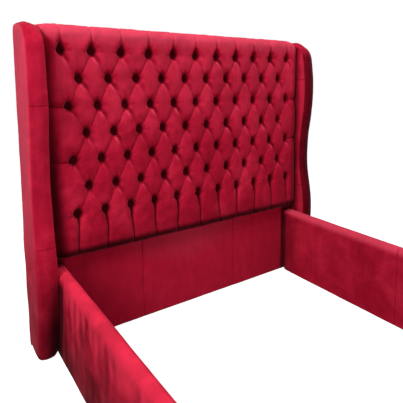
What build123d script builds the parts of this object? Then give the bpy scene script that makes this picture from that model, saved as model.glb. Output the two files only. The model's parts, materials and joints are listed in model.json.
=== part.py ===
"""Upholstered wing bed: buttoned headboard, two wings and a padded surround.

X runs across the bed, +Y points to the headboard and +Z up. The origin lies on
the floor, in the middle of the bed. All sizes are in millimetres.
"""

import os

from build123d import *

os.makedirs("parts", exist_ok=True)

# The mattress that the surround takes, and the ease around it
mattress_width = 1350.0
mattress_length = 1900.0
side_ease = 20.0
end_ease = 20.0

# Clearances and small common sizes
seat_gap = 0.3
hole_ease = 0.3
cut_overrun = 5.0
glide_height = 3.0
glide_width = 28.0

# Padded rails round the mattress
rail_height = 425.0
rail_thickness = 52.0
rail_padding = 16.0
rail_top_radius = 15.0
rail_edge_radius = 5.0
glides_per_rail = 4
glide_inset = 90.0

# Headboard frame of planed timber
timber_depth = 63.0
post_width = 50.0
frame_top_drop = 25.0
cross_rail_height = 70.0
middle_rail_height = 90.0
bottom_rail_lift = 40.0
tenon_length = 30.0
tenon_thickness = 20.0
tenon_shoulder = 10.0
stud_width = 45.0
back_cloth_thickness = 2.0
board_thickness = 12.0

# Plain panel below the buttoned pad
plain_pad_thickness = 23.0
seam_width = 4.0
seam_depth = 2.0

# Deep buttoned pad
headboard_height = 1523.0
buttoned_bottom = 453.0
button_columns = 11
button_rows = 7
side_margin = 95.0
top_margin = 115.0
bottom_margin = 207.0
pleat_depth_reach = 38.0
tuft_rise = 46.0
tuft_wall = 1.0
steep_inset = 12.0
crown_inset = 18.0
crown_drop = 9.0
top_roll_radius = 42.0
bottom_roll_radius = 30.0
roll_lap = 14.0
pleat_gap = 1.6
button_well = 13.0
button_well_sides = 6
button_well_turn = 30.0
button_radius = 10.0
button_sides = 8
button_height = 7.0
button_rim = 2.5
button_bevel = 5.0
twine_width = 2.6
toggle_length = 22.0
toggle_width = 7.0
toggle_thickness = 6.0

# Wings: how far each stands forward of the plain panel, by height
wing_thickness = 80.0
wing_top_drop = 7.0
wing_padding = 16.0
wing_edge_bevel = 9.0
toe_reach = 33.0
lower_swell_reach = 142.0
lower_swell_height = 450.0
waist_reach = 93.0
waist_height = 795.0
upper_swell_reach = 140.0
upper_swell_drop = 298.0
shoulder_reach = 130.0
shoulder_drop = 108.0
brow_reach = 15.0

# Bolts, square nuts and brackets; small rounds have few sides, to keep the model light
bore_sides = 8
padding_cut_sides = 4
bolt_radius = 4.0
bolt_head_radius = 8.0
bolt_head_height = 5.0
head_sides = 6
rail_bolt_grip = 70.0
wing_bolt_grip = 25.0
bolt_rise = 16.0
rail_bolt_drop = 119.0
nut_width = 14.0
nut_depth = 8.0
nut_setback = 14.0
bracket_leg = 60.0
bracket_thickness = 3.0
bracket_height = 90.0
bracket_place_shares = (0.5,)

# Widths
inner_width = mattress_width + 2 * side_ease
inner_length = mattress_length + end_ease
rail_inner_x = inner_width / 2
rail_outer_x = rail_inner_x + rail_thickness
wing_inner_x = rail_outer_x + 3 * seat_gap
panel_half_width = wing_inner_x - seat_gap

# Depths: the plain panel's face is where the mattress ends
behind_panel = plain_pad_thickness + board_thickness + timber_depth + back_cloth_thickness
bed_length = behind_panel + inner_length + rail_thickness
back_y = bed_length / 2
panel_y = back_y - behind_panel
board_front_y = panel_y + plain_pad_thickness
timber_front_y = board_front_y + board_thickness
timber_back_y = timber_front_y + timber_depth
foot_inner_y = panel_y - inner_length

# Heights
frame_top = headboard_height - frame_top_drop
wing_height = headboard_height - wing_top_drop
plain_top = buttoned_bottom - seat_gap

# The diamond net of buttons
half_column = (2 * panel_half_width - 2 * side_margin) / (button_columns - 1) / 2
top_row_z = headboard_height - top_margin
bottom_row_z = buttoned_bottom + bottom_margin
row_pitch = (top_row_z - bottom_row_z) / (button_rows - 1)
last_half_step = button_columns - 1
stud_half_steps = 4.5
stud_x = stud_half_steps * half_column


def save(piece, name):
    """Label a finished piece and write it to its own file."""
    piece.label = name
    export_step(piece, f"parts/{name}.step")


def facing_plane(reach):
    """Upright plane that looks to the foot, a given reach forward of the plain panel."""
    return Plane.XZ.offset(reach - panel_y)


def forward(reach):
    """Y of a point that stands a given reach forward of the plain panel."""
    return panel_y - reach


def button_places():
    """Across and up places of every button, row by row from the top."""
    places = []
    for row in range(button_rows):
        start = -last_half_step + row % 2
        for step in range(start, last_half_step + 1, 2):
            places.append((step * half_column, top_row_z - row * row_pitch))
    return places


def across_plane(x):
    """Upright plane that looks to +X, at a given place across the bed."""
    return Plane.YZ.offset(x)


def cut_holes(plane, places, length, radius, sides=bore_sides):
    """Cut a hole at each place of a plane, in the part being built; the length has a sign."""
    with BuildSketch(plane) as holes:
        with Locations(*places):
            RegularPolygon(radius, sides)
    extrude(holes.sketch, amount=length, mode=Mode.SUBTRACT)


# Headboard frame: two posts with mortises, three cross rails with stub tenons, four studs
top_rail_base = frame_top - cross_rail_height
middle_rail_base = buttoned_bottom - middle_rail_height / 2
bottom_rail_base = glide_height + bottom_rail_lift
cross_rails = {
    "top_cross_rail": (top_rail_base, cross_rail_height),
    "middle_cross_rail": (middle_rail_base, middle_rail_height),
    "bottom_cross_rail": (bottom_rail_base, cross_rail_height),
}
post_inner_x = panel_half_width - post_width
post_centre_x = post_inner_x + post_width / 2
timber_centre_y = (timber_front_y + timber_back_y) / 2
rail_bolt_heights = [
    bottom_rail_base + cross_rail_height + bolt_rise,
    rail_height - rail_bolt_drop,
]
wing_bolt_heights = [
    sum(rail_bolt_heights) / 2,
    (middle_rail_base + middle_rail_height + top_rail_base) / 2,
]
bracket_heights = [rail_height * share for share in bracket_place_shares]
rail_centre_x = rail_inner_x + rail_thickness / 2
hole_radius = bolt_radius + hole_ease
padding_cut_radius = 2 * hole_radius


def rail_bolt_places(side):
    """Across and up places of the bolts that hold one side rail to its post."""
    return [(side * rail_centre_x, height) for height in rail_bolt_heights]


def wing_bolt_places():
    """Along and up places of the bolts that hold a wing to its post."""
    return [(timber_centre_y, height) for height in wing_bolt_heights]


def make_post(side, name):
    """Post with a mortise for each cross rail, and bolt holes for rail and wing."""
    with BuildPart() as post:
        with BuildSketch(Plane.XY.offset(glide_height)):
            with Locations((side * post_centre_x, timber_centre_y)):
                Rectangle(post_width, timber_depth)
        extrude(amount=frame_top - glide_height)
        for base, height in cross_rails.values():
            with BuildSketch(across_plane(side * (post_inner_x - cut_overrun))):
                with Locations((timber_centre_y, base + height / 2)):
                    Rectangle(
                        tenon_thickness + 2 * seat_gap,
                        height - 2 * tenon_shoulder + 2 * seat_gap,
                    )
            extrude(amount=side * (tenon_length + seat_gap + cut_overrun), mode=Mode.SUBTRACT)
        behind = facing_plane(-behind_panel - cut_overrun)
        sunk = back_cloth_thickness + bolt_head_height + seat_gap + cut_overrun
        cut_holes(behind, rail_bolt_places(side), behind_panel, hole_radius)
        cut_holes(behind, rail_bolt_places(side), sunk, bolt_head_radius + hole_ease, head_sides)
        cut_holes(
            across_plane(side * (post_inner_x - cut_overrun)),
            wing_bolt_places(),
            side * (post_width + 2 * cut_overrun),
            hole_radius,
        )
    save(post.part, name)


def make_cross_rail(base, height, name):
    """Cross rail between the posts, with a stub tenon at each end."""
    with BuildPart() as cross_rail:
        with BuildSketch(across_plane(-post_inner_x)):
            with Locations((timber_centre_y, base + height / 2)):
                Rectangle(timber_depth, height)
        extrude(amount=2 * post_inner_x)
        with BuildSketch(across_plane(-post_inner_x - tenon_length)):
            with Locations((timber_centre_y, base + height / 2)):
                Rectangle(tenon_thickness, height - 2 * tenon_shoulder)
        extrude(amount=2 * (post_inner_x + tenon_length))
    save(cross_rail.part, name)


def make_studs():
    """Studs above and below the middle cross rail, where no button comes through."""
    levels = sorted(cross_rails.values())
    with BuildPart() as studs:
        for (lower, lower_height), (upper, _) in zip(levels, levels[1:]):
            with BuildSketch(Plane.XY.offset(lower + lower_height)):
                with Locations((-stud_x, timber_centre_y), (stud_x, timber_centre_y)):
                    Rectangle(stud_width, timber_depth)
            extrude(amount=upper - lower - lower_height)
    save(studs.part, "frame_studs")


make_post(-1, "left_post")
make_post(1, "right_post")
for rail_name, (rail_base, rail_size) in cross_rails.items():
    make_cross_rail(rail_base, rail_size, rail_name)
make_studs()


# Boards on the front of the frame, and the cloth over its back
def make_upper_board():
    """Face board behind the buttoned pad, with a square hole for each twine."""
    with BuildPart() as board:
        with BuildSketch(facing_plane(-plain_pad_thickness - board_thickness)):
            with Locations((0, (frame_top + buttoned_bottom) / 2)):
                Rectangle(2 * panel_half_width, frame_top - buttoned_bottom)
            with Locations(*button_places()):
                Rectangle(
                    twine_width + 2 * hole_ease,
                    twine_width + 2 * hole_ease,
                    mode=Mode.SUBTRACT,
                )
        extrude(amount=board_thickness)
    save(board.part, "upper_face_board")


def make_lower_board():
    """Face board behind the plain panel, with the rail bolts' holes."""
    with BuildPart() as board:
        with BuildSketch(facing_plane(-plain_pad_thickness - board_thickness)):
            with Locations((0, (plain_top + glide_height) / 2)):
                Rectangle(2 * panel_half_width, plain_top - glide_height)
            with Locations(*rail_bolt_places(-1), *rail_bolt_places(1)):
                RegularPolygon(hole_radius, bore_sides, mode=Mode.SUBTRACT)
        extrude(amount=board_thickness)
    save(board.part, "lower_face_board")


def make_back_cloth():
    """Cloth stretched over the back of the frame."""
    with BuildPart() as cloth:
        with BuildSketch(facing_plane(-behind_panel)):
            with Locations((0, (frame_top + glide_height) / 2)):
                Rectangle(2 * panel_half_width, frame_top - glide_height)
        extrude(amount=back_cloth_thickness)
    save(cloth.part, "back_cloth")


def make_plain_pad():
    """Plain padded panel between the rails, with two upright seams."""
    with BuildPart() as pad:
        with BuildSketch(facing_plane(-plain_pad_thickness)):
            with Locations((0, (plain_top + glide_height) / 2)):
                Rectangle(2 * panel_half_width, plain_top - glide_height)
        extrude(amount=plain_pad_thickness)
        front = pad.faces().sort_by(Axis.Y)[0]
        fillet(front.edges(), radius=rail_edge_radius)
        with BuildSketch(facing_plane(-seam_depth)):
            for side in (-1, 1):
                with Locations((side * stud_x, plain_top / 2)):
                    Rectangle(seam_width, plain_top + cut_overrun)
        extrude(amount=seam_depth + cut_overrun, mode=Mode.SUBTRACT)
        cut_holes(
            facing_plane(-plain_pad_thickness - cut_overrun),
            rail_bolt_places(-1) + rail_bolt_places(1),
            plain_pad_thickness + 2 * cut_overrun,
            padding_cut_radius,
            padding_cut_sides,
        )
    save(pad.part, "plain_panel_pad")


make_upper_board()
make_lower_board()
make_back_cloth()
make_plain_pad()


# The deep buttoned pad: a slab with a roll along its top and its foot, and a swelling tuft
# in every cell of the net of pleats between the buttons
crown_reach = pleat_depth_reach + tuft_rise
roll_reach = crown_reach + seat_gap
tufts_top = headboard_height - top_roll_radius
tufts_bottom = buttoned_bottom + bottom_roll_radius
tufts_side = panel_half_width - pleat_gap
tuft_inset = min(steep_inset + crown_inset, bottom_roll_radius, top_roll_radius)


def net_point(step, row):
    """Place of a crossing in the net, counted in half columns and in rows."""
    return (step * half_column, top_row_z - row * row_pitch)


def make_tuft(corners):
    """Tuft on the pleats' plane: a cell of the net with two bevels round its face."""
    with BuildPart() as tuft:
        with BuildSketch(facing_plane(pleat_depth_reach)):
            Polygon(*corners, align=None)
            offset(amount=-pleat_gap / 2, kind=Kind.INTERSECTION)
        extrude(amount=tuft_rise)
        for inset, drop in ((steep_inset, tuft_rise - tuft_wall), (crown_inset, crown_drop)):
            face = tuft.faces().sort_by(Axis.Y)[0]
            chamfer(face.edges(), length=inset, length2=drop, reference=face)
    return tuft.part


def full_tuft(step, row):
    """Diamond tuft between four buttons."""
    corners = [
        net_point(step - 1, row),
        net_point(step, row + 1),
        net_point(step + 1, row),
        net_point(step, row - 1),
    ]
    return make_tuft(corners)


def end_channel(step, row, past_row, end_z):
    """Tuft that runs on from the last row of buttons, straight to a roll."""
    left = net_point(step - 1, row)
    right = net_point(step + 1, row)
    corners = [left, net_point(step, past_row), right, (right[0], end_z), (left[0], end_z)]
    return make_tuft(corners)


def side_tuft(side, row):
    """Tuft between the last buttons of a long row pair and the side of the pad."""
    last = side * last_half_step
    edge_x = side * tufts_side
    upper = net_point(last, row - 1)
    lower = net_point(last, row + 1)
    corners = [net_point(last - side, row), upper, (edge_x, upper[1]), (edge_x, lower[1]), lower]
    return make_tuft(corners)


def corner_tuft(side, row, end_row, far_row, end_z):
    """Tuft that fills a corner of the pad, past the last button of an end row."""
    last = side * last_half_step
    edge_x = side * tufts_side
    far = net_point(last, far_row)
    corners = [
        net_point(last - side, row),
        net_point(last, end_row),
        (last * half_column, end_z),
        (edge_x, end_z),
        (edge_x, far[1]),
        far,
    ]
    return make_tuft(corners)


def all_tufts():
    """Every tuft of the pad, in a list."""
    tufts = []
    last_row = button_rows - 1
    for row in range(1, last_row):
        reach = last_half_step - 1 - row % 2
        for step in range(-reach, reach + 1, 2):
            tufts.append(full_tuft(step, row))
    for step in range(1 - last_half_step, last_half_step, 2):
        tufts.append(end_channel(step, 0, 1, tufts_top + tuft_inset))
        tufts.append(end_channel(step, last_row, last_row - 1, tufts_bottom - tuft_inset))
    for side in (-1, 1):
        for row in range(3, last_row - 2, 2):
            tufts.append(side_tuft(side, row))
        tufts.append(corner_tuft(side, 1, 0, 2, tufts_top + tuft_inset))
        tufts.append(
            corner_tuft(side, last_row - 1, last_row, last_row - 2, tufts_bottom - tuft_inset)
        )
    return tufts


def make_buttoned_pad():
    """Buttoned pad with its tufts, a well round each button and a hole for each twine."""
    tufts = all_tufts()
    top_seat = frame_top + seat_gap
    with BuildPart() as pad:
        with BuildSketch(across_plane(-panel_half_width)):
            with BuildLine():
                Line((board_front_y, top_seat), (board_front_y, buttoned_bottom))
                foot = Line(
                    (board_front_y, buttoned_bottom),
                    (forward(roll_reach - bottom_roll_radius), buttoned_bottom),
                )
                foot_round = TangentArc(
                    foot @ 1, (forward(roll_reach), tufts_bottom), tangent=(-1, 0)
                )
                Polyline(
                    foot_round @ 1,
                    (forward(roll_reach), tufts_bottom + roll_lap),
                    (forward(pleat_depth_reach), tufts_bottom + roll_lap),
                    (forward(pleat_depth_reach), tufts_top - roll_lap),
                    (forward(roll_reach), tufts_top - roll_lap),
                    (forward(roll_reach), tufts_top),
                )
                top_round = TangentArc(
                    (forward(roll_reach), tufts_top),
                    (forward(roll_reach - top_roll_radius), headboard_height),
                    tangent=(0, 1),
                )
                Polyline(
                    top_round @ 1,
                    (back_y, headboard_height),
                    (back_y, top_seat),
                    (board_front_y, top_seat),
                )
            make_face()
        extrude(amount=2 * panel_half_width)
        add(tufts)
        with BuildSketch(facing_plane(pleat_depth_reach)):
            with Locations(*button_places()):
                RegularPolygon(button_well, button_well_sides, rotation=button_well_turn)
        extrude(amount=tuft_rise + cut_overrun, mode=Mode.SUBTRACT)
        with BuildSketch(facing_plane(-plain_pad_thickness - cut_overrun)):
            with Locations(*button_places()):
                Rectangle(twine_width + 2 * hole_ease, twine_width + 2 * hole_ease)
        extrude(
            amount=plain_pad_thickness + pleat_depth_reach + 2 * cut_overrun,
            mode=Mode.SUBTRACT,
        )
    save(pad.part, "buttoned_pad")


def make_buttons():
    """Covered buttons, each seated at the bottom of its well."""
    with BuildPart() as button:
        with BuildSketch(Plane.XZ):
            RegularPolygon(button_radius, button_sides)
        extrude(amount=button_height)
        face = button.faces().sort_by(Axis.Y)[0]
        rim_drop = button_height - button_rim
        chamfer(face.edges(), length=button_bevel, length2=rim_drop, reference=face)
    with BuildPart() as buttons:
        with Locations(*[(x, forward(pleat_depth_reach), z) for x, z in button_places()]):
            add(button.part)
    save(buttons.part, "tuft_buttons")


def make_twines():
    """Twine from each button through the pad and the board."""
    with BuildPart() as twines:
        with BuildSketch(facing_plane(-plain_pad_thickness - board_thickness)):
            with Locations(*button_places()):
                Rectangle(twine_width, twine_width)
        extrude(amount=plain_pad_thickness + board_thickness + pleat_depth_reach)
    save(twines.part, "button_twines")


def make_toggles():
    """Toggle at the back of the board for each twine, set upright to pass the studs."""
    with BuildPart() as toggles:
        with BuildSketch(facing_plane(-plain_pad_thickness - board_thickness)):
            with Locations(*button_places()):
                Rectangle(toggle_width, toggle_length)
        extrude(amount=-toggle_thickness)
    save(toggles.part, "twine_toggles")


make_buttoned_pad()
make_buttons()
make_twines()
make_toggles()


# Wings: a padded cover with a serpentine front, over a core board
def serpentine(upper, lower):
    """Two arcs of one radius from a swell to a waist, upright at both ends."""
    middle = ((upper[0] + lower[0]) / 2, (upper[1] + lower[1]) / 2)
    TangentArc(upper, middle, tangent=(0, -1))
    TangentArc(lower, middle, tangent=(0, 1))


def wing_outline():
    """Side outline of a wing, in the sketch being built."""
    lower_swell = (forward(lower_swell_reach), lower_swell_height)
    waist = (forward(waist_reach), waist_height)
    upper_swell = (forward(upper_swell_reach), wing_height - upper_swell_drop)
    shoulder = (forward(shoulder_reach), wing_height - shoulder_drop)
    brow = (forward(brow_reach), wing_height)
    toe = (forward(toe_reach), glide_height)
    with BuildLine() as outline:
        TangentArc(lower_swell, toe, tangent=(0, -1))
        serpentine(waist, lower_swell)
        serpentine(upper_swell, waist)
        rise = TangentArc(upper_swell, shoulder, tangent=(0, 1))
        TangentArc(shoulder, brow, tangent=rise % 1)
        Polyline(brow, (back_y, wing_height), (back_y, glide_height), toe)
    make_face(outline.edges())


def show_edges(face):
    """Edges of a wing's side face that show: all but those at the floor and the back."""
    return [
        edge
        for edge in face.edges()
        if edge.center().Z > glide_height + seat_gap and edge.center().Y < back_y - seat_gap
    ]


def make_wing_cover(side, name):
    """Padded cover of a wing, with a pocket for its core."""
    with BuildPart() as cover:
        with BuildSketch(across_plane(side * wing_inner_x)):
            wing_outline()
        extrude(amount=side * wing_thickness)
        by_width = cover.faces().sort_by(Axis.X)
        outer_face = by_width[-1] if side > 0 else by_width[0]
        chamfer(show_edges(outer_face), length=wing_edge_bevel)
        with BuildSketch(across_plane(side * (wing_inner_x + wing_padding))):
            wing_outline()
            offset(amount=-wing_padding)
        extrude(amount=side * (wing_thickness - 2 * wing_padding), mode=Mode.SUBTRACT)
        cut_holes(
            across_plane(side * (wing_inner_x - cut_overrun)),
            wing_bolt_places(),
            side * (wing_padding + 2 * cut_overrun),
            padding_cut_radius,
            padding_cut_sides,
        )
    save(cover.part, name)


def make_wing_core(side, name):
    """Core board of a wing, with blind holes for its bolts."""
    with BuildPart() as core:
        with BuildSketch(across_plane(side * (wing_inner_x + wing_padding + seat_gap))):
            wing_outline()
            offset(amount=-wing_padding - seat_gap)
        extrude(amount=side * (wing_thickness - 2 * wing_padding - 2 * seat_gap))
        cut_holes(
            across_plane(side * wing_inner_x),
            wing_bolt_places(),
            side * (wing_padding + wing_bolt_grip + seat_gap),
            hole_radius,
        )
    save(core.part, name)


make_wing_cover(-1, "left_wing_cover")
make_wing_cover(1, "right_wing_cover")
make_wing_core(-1, "left_wing_core")
make_wing_core(1, "right_wing_core")


# Padded rails: a cover round a core board, joined by bolts and corner brackets
core_thickness = rail_thickness - 2 * rail_padding
core_height = rail_height - glide_height - 2 * rail_padding
rail_middle_z = (rail_height + glide_height) / 2
side_rail_length = inner_length - 2 * seat_gap
side_core_length = side_rail_length - 2 * rail_padding
bracket_y = foot_inner_y + bracket_leg / 2
bracket_x = rail_inner_x - bracket_leg / 2
bracket_bore = rail_padding + core_thickness / 2
nut_y = forward(rail_padding + rail_bolt_grip - nut_setback)


def make_side_rail(side, name):
    """Cover and core of one side rail, with holes for its bolts, nuts and brackets."""
    centre = (side * rail_centre_x, rail_middle_z)
    bracket_places = [(bracket_y, height) for height in bracket_heights]
    nut_places = [(nut_y, height) for height in rail_bolt_heights]
    with BuildPart() as cover:
        with BuildSketch(facing_plane(seat_gap)):
            with Locations(centre):
                Rectangle(rail_thickness, rail_height - glide_height)
        extrude(amount=side_rail_length)
        top_edges = cover.faces().sort_by(Axis.Z)[-1].edges().filter_by(Axis.Y)
        fillet(top_edges, radius=rail_top_radius)
        fillet(cover.faces().sort_by(Axis.Z)[0].edges().filter_by(Axis.Y), radius=rail_edge_radius)
        with BuildSketch(facing_plane(seat_gap + rail_padding)):
            with Locations(centre):
                Rectangle(core_thickness, core_height)
        extrude(amount=side_core_length, mode=Mode.SUBTRACT)
        cut_holes(
            facing_plane(0),
            rail_bolt_places(side),
            rail_padding + cut_overrun,
            padding_cut_radius,
            padding_cut_sides,
        )
        cut_holes(
            across_plane(side * (rail_inner_x - cut_overrun)),
            bracket_places,
            side * (rail_padding + 2 * cut_overrun),
            padding_cut_radius,
            padding_cut_sides,
        )
    save(cover.part, f"{name}_cover")
    with BuildPart() as core:
        with BuildSketch(facing_plane(seat_gap + rail_padding)):
            with Locations(centre):
                Rectangle(core_thickness, core_height)
        extrude(amount=side_core_length)
        bolt_bore = rail_padding + rail_bolt_grip + seat_gap
        cut_holes(facing_plane(0), rail_bolt_places(side), bolt_bore, hole_radius)
        with BuildSketch(across_plane(side * rail_inner_x)):
            with Locations(*nut_places):
                Rectangle(nut_depth + 2 * hole_ease, nut_width + 2 * hole_ease)
        extrude(amount=side * rail_thickness, mode=Mode.SUBTRACT)
        inner_face = across_plane(side * rail_inner_x)
        cut_holes(inner_face, bracket_places, side * (bracket_bore + seat_gap), hole_radius)
    save(core.part, f"{name}_core")


def foot_bracket_places():
    """Across and up places of the bracket bolts in the foot rail."""
    return [(side * bracket_x, height) for side in (-1, 1) for height in bracket_heights]


def make_foot_rail():
    """Cover and core of the foot rail, which closes the ends of the side rails."""
    centre_y = foot_inner_y - rail_thickness / 2
    with BuildPart() as cover:
        with BuildSketch(across_plane(-rail_outer_x)):
            with Locations((centre_y, rail_middle_z)):
                Rectangle(rail_thickness, rail_height - glide_height)
        extrude(amount=2 * rail_outer_x)
        top_edges = cover.faces().sort_by(Axis.Z)[-1].edges().filter_by(Axis.X)
        fillet(top_edges, radius=rail_top_radius)
        fillet(cover.faces().sort_by(Axis.Z)[0].edges().filter_by(Axis.X), radius=rail_edge_radius)
        with BuildSketch(across_plane(-rail_outer_x + rail_padding)):
            with Locations((centre_y, rail_middle_z)):
                Rectangle(core_thickness, core_height)
        extrude(amount=2 * (rail_outer_x - rail_padding), mode=Mode.SUBTRACT)
        cut_holes(
            facing_plane(inner_length - cut_overrun),
            foot_bracket_places(),
            rail_padding + 2 * cut_overrun,
            padding_cut_radius,
            padding_cut_sides,
        )
    save(cover.part, "foot_rail_cover")
    with BuildPart() as core:
        with BuildSketch(across_plane(-rail_outer_x + rail_padding)):
            with Locations((centre_y, rail_middle_z)):
                Rectangle(core_thickness, core_height)
        extrude(amount=2 * (rail_outer_x - rail_padding))
        foot_face = facing_plane(inner_length)
        cut_holes(foot_face, foot_bracket_places(), bracket_bore + seat_gap, hole_radius)
    save(core.part, "foot_rail_core")


make_side_rail(-1, "left_rail")
make_side_rail(1, "right_rail")
make_foot_rail()


# Bolts, square nuts, corner brackets and glides
def make_bolt(grip):
    """Bolt along +Z: its head lies below the origin plane and its shank above."""
    with BuildPart() as bolt:
        with BuildSketch(Plane.XY):
            RegularPolygon(bolt_radius, bore_sides)
        extrude(amount=grip)
        with BuildSketch(Plane.XY):
            RegularPolygon(bolt_head_radius, head_sides)
        extrude(amount=-bolt_head_height)
    return bolt.part


def place_copies(piece, planes):
    """One part made of copies of a piece, each standing on a plane."""
    with BuildPart() as group:
        with Locations(*[plane.location for plane in planes]):
            add(piece)
    return group.part


def bolt_plane(point, direction):
    """Plane at a bolt head's seat that looks along the bolt, its X level as in the holes."""
    level = (abs(direction[1]), abs(direction[0]), 0)
    return Plane(origin=point, x_dir=level, z_dir=direction)


def make_bolts():
    """Rail bolts, wing bolts and bracket bolts, each kind in one node."""
    rail_seat_y = timber_back_y - bolt_head_height
    rail_bolt = make_bolt(rail_seat_y - forward(rail_padding + rail_bolt_grip))
    rail_planes = [
        bolt_plane((x, rail_seat_y, z), (0, -1, 0))
        for side in (-1, 1)
        for x, z in rail_bolt_places(side)
    ]
    save(place_copies(rail_bolt, rail_planes), "rail_bolts")
    wing_bolt = make_bolt(wing_inner_x - post_inner_x + wing_padding + wing_bolt_grip)
    wing_planes = [
        bolt_plane((side * post_inner_x, y, z), (side, 0, 0))
        for side in (-1, 1)
        for y, z in wing_bolt_places()
    ]
    save(place_copies(wing_bolt, wing_planes), "wing_bolts")
    bracket_bolt = make_bolt(bracket_thickness + bracket_bore)
    bracket_planes = [
        bolt_plane((x, foot_inner_y + bracket_thickness, z), (0, -1, 0))
        for x, z in foot_bracket_places()
    ]
    for side in (-1, 1):
        seat_x = side * (rail_inner_x - bracket_thickness)
        bracket_planes += [
            bolt_plane((seat_x, bracket_y, z), (side, 0, 0)) for z in bracket_heights
        ]
    save(place_copies(bracket_bolt, bracket_planes), "bracket_bolts")


def make_nuts():
    """Square nuts in their pockets in the side rails' cores, each holed for its bolt."""
    places = rail_bolt_places(-1) + rail_bolt_places(1)
    with BuildPart() as nuts:
        with BuildSketch(facing_plane(panel_y - nut_y - nut_depth / 2)):
            with Locations(*places):
                Rectangle(nut_width, nut_width)
                RegularPolygon(hole_radius, bore_sides, mode=Mode.SUBTRACT)
        extrude(amount=nut_depth)
    save(nuts.part, "rail_nuts")


def make_brackets():
    """Steel angle brackets in the two corners at the foot."""
    with BuildPart() as brackets:
        for height in bracket_heights:
            with BuildSketch(Plane.XY.offset(height - bracket_height / 2)):
                for side in (-1, 1):
                    with Locations((side * bracket_x, foot_inner_y + bracket_thickness / 2)):
                        Rectangle(bracket_leg, bracket_thickness)
                    side_x = side * (rail_inner_x - bracket_thickness / 2)
                    with Locations((side_x, bracket_y)):
                        Rectangle(bracket_thickness, bracket_leg)
            extrude(amount=bracket_height)
        before_leg = facing_plane(inner_length - 2 * bracket_thickness)
        cut_holes(before_leg, foot_bracket_places(), 3 * bracket_thickness, hole_radius)
        for side in (-1, 1):
            cut_holes(
                across_plane(side * (rail_inner_x - 2 * bracket_thickness)),
                [(bracket_y, height) for height in bracket_heights],
                side * 3 * bracket_thickness,
                hole_radius,
            )
    save(brackets.part, "corner_brackets")


def make_glides(places, name):
    """Thin square glides on the floor at the given places."""
    with BuildPart() as glides:
        with BuildSketch(Plane.XY):
            with Locations(*places):
                Rectangle(glide_width, glide_width)
        extrude(amount=glide_height)
    save(glides.part, name)


def spread(start, end, count):
    """Places spread evenly from start to end."""
    return [start + (end - start) * number / (count - 1) for number in range(count)]


make_bolts()
make_nuts()
make_brackets()
rail_glide_ys = spread(panel_y - glide_inset, foot_inner_y + glide_inset, glides_per_rail)
wing_glide_ys = spread(back_y - glide_width, forward(0), 2)
for side, side_name in ((-1, "left"), (1, "right")):
    make_glides([(side * rail_centre_x, y) for y in rail_glide_ys], f"{side_name}_rail_glides")
    wing_x = side * (wing_inner_x + wing_thickness / 2)
    make_glides([(wing_x, y) for y in wing_glide_ys], f"{side_name}_wing_glides")
foot_glide_xs = spread(glide_inset - rail_outer_x, rail_outer_x - glide_inset, glides_per_rail)
foot_glide_y = foot_inner_y - rail_thickness / 2
make_glides([(x, foot_glide_y) for x in foot_glide_xs], "foot_rail_glides")
make_glides([(side * post_centre_x, timber_centre_y) for side in (-1, 1)], "post_glides")
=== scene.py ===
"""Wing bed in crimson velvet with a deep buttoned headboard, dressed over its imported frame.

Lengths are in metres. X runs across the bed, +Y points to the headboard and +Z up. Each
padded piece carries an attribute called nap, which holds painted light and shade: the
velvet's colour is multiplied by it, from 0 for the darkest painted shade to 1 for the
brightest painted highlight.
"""

from __future__ import annotations

import json
import logging
import math
from dataclasses import dataclass, field
from enum import Enum

import bmesh
import bpy
import numpy as np
from mathutils import Matrix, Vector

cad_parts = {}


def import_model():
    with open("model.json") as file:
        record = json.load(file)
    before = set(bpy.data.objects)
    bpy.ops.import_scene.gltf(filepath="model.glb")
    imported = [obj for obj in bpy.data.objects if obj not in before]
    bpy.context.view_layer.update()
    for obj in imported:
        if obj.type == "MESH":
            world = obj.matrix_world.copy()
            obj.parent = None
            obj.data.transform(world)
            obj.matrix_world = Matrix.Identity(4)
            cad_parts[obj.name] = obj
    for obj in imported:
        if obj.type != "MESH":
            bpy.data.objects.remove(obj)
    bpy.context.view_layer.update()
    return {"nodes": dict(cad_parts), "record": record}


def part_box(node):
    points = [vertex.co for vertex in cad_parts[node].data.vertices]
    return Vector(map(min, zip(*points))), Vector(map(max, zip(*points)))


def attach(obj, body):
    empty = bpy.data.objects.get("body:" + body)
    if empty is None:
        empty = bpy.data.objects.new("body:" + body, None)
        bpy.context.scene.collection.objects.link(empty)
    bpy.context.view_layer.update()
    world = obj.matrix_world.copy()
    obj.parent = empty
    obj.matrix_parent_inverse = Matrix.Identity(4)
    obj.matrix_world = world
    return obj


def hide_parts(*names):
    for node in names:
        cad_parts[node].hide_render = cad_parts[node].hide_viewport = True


log = logging.getLogger("bed")

Array = np.ndarray
Pair = tuple[float, float]
Colour = tuple[float, float, float]
Socket = bpy.types.NodeSocket
Material = bpy.types.Material
Piece = bpy.types.Object
Boxes = dict[str, tuple[Array, Array]]

MM = 0.001
QUARTER_TURN = math.pi / 2.0
PHOTO_SIZE = 403
SENSOR_WIDTH = 36.0
# Even level of the nap attribute, with neither painted shade nor painted highlight.
EVEN_PAINTED_LIGHT = 0.76
DRIFT_WAVES = 9
SEAM_REACH = 9.0 * MM
SEAM_STEP = 1.3 * MM
WELD = 0.02 * MM
WHITE = (1.0, 1.0, 1.0)
SEAT_GAP = 0.3 * MM
RAIL_SEAM_REACH = 0.889
PANEL_SEAM_COLUMNS = 4.5


class Side(Enum):
    """Which side of the bed a paired piece belongs to, with the sign of its X."""

    LEFT = -1
    RIGHT = 1

    @property
    def word(self) -> str:
        """The side's name in node names."""
        return self.name.lower()


class Zone(Enum):
    """Which part of a padded slab's section a seam is sewn across."""

    NEAR = "near face"
    BAND = "band"
    ALL = "all round"


class Tone(Enum):
    """Kinds of timber and board inside the bed, by their slots."""

    SOFTWOOD = "frame_timber"
    FACE_BOARD = "face_board"
    CORE_BOARD = "core_board"
    TOGGLE = "toggle_wood"


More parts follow.
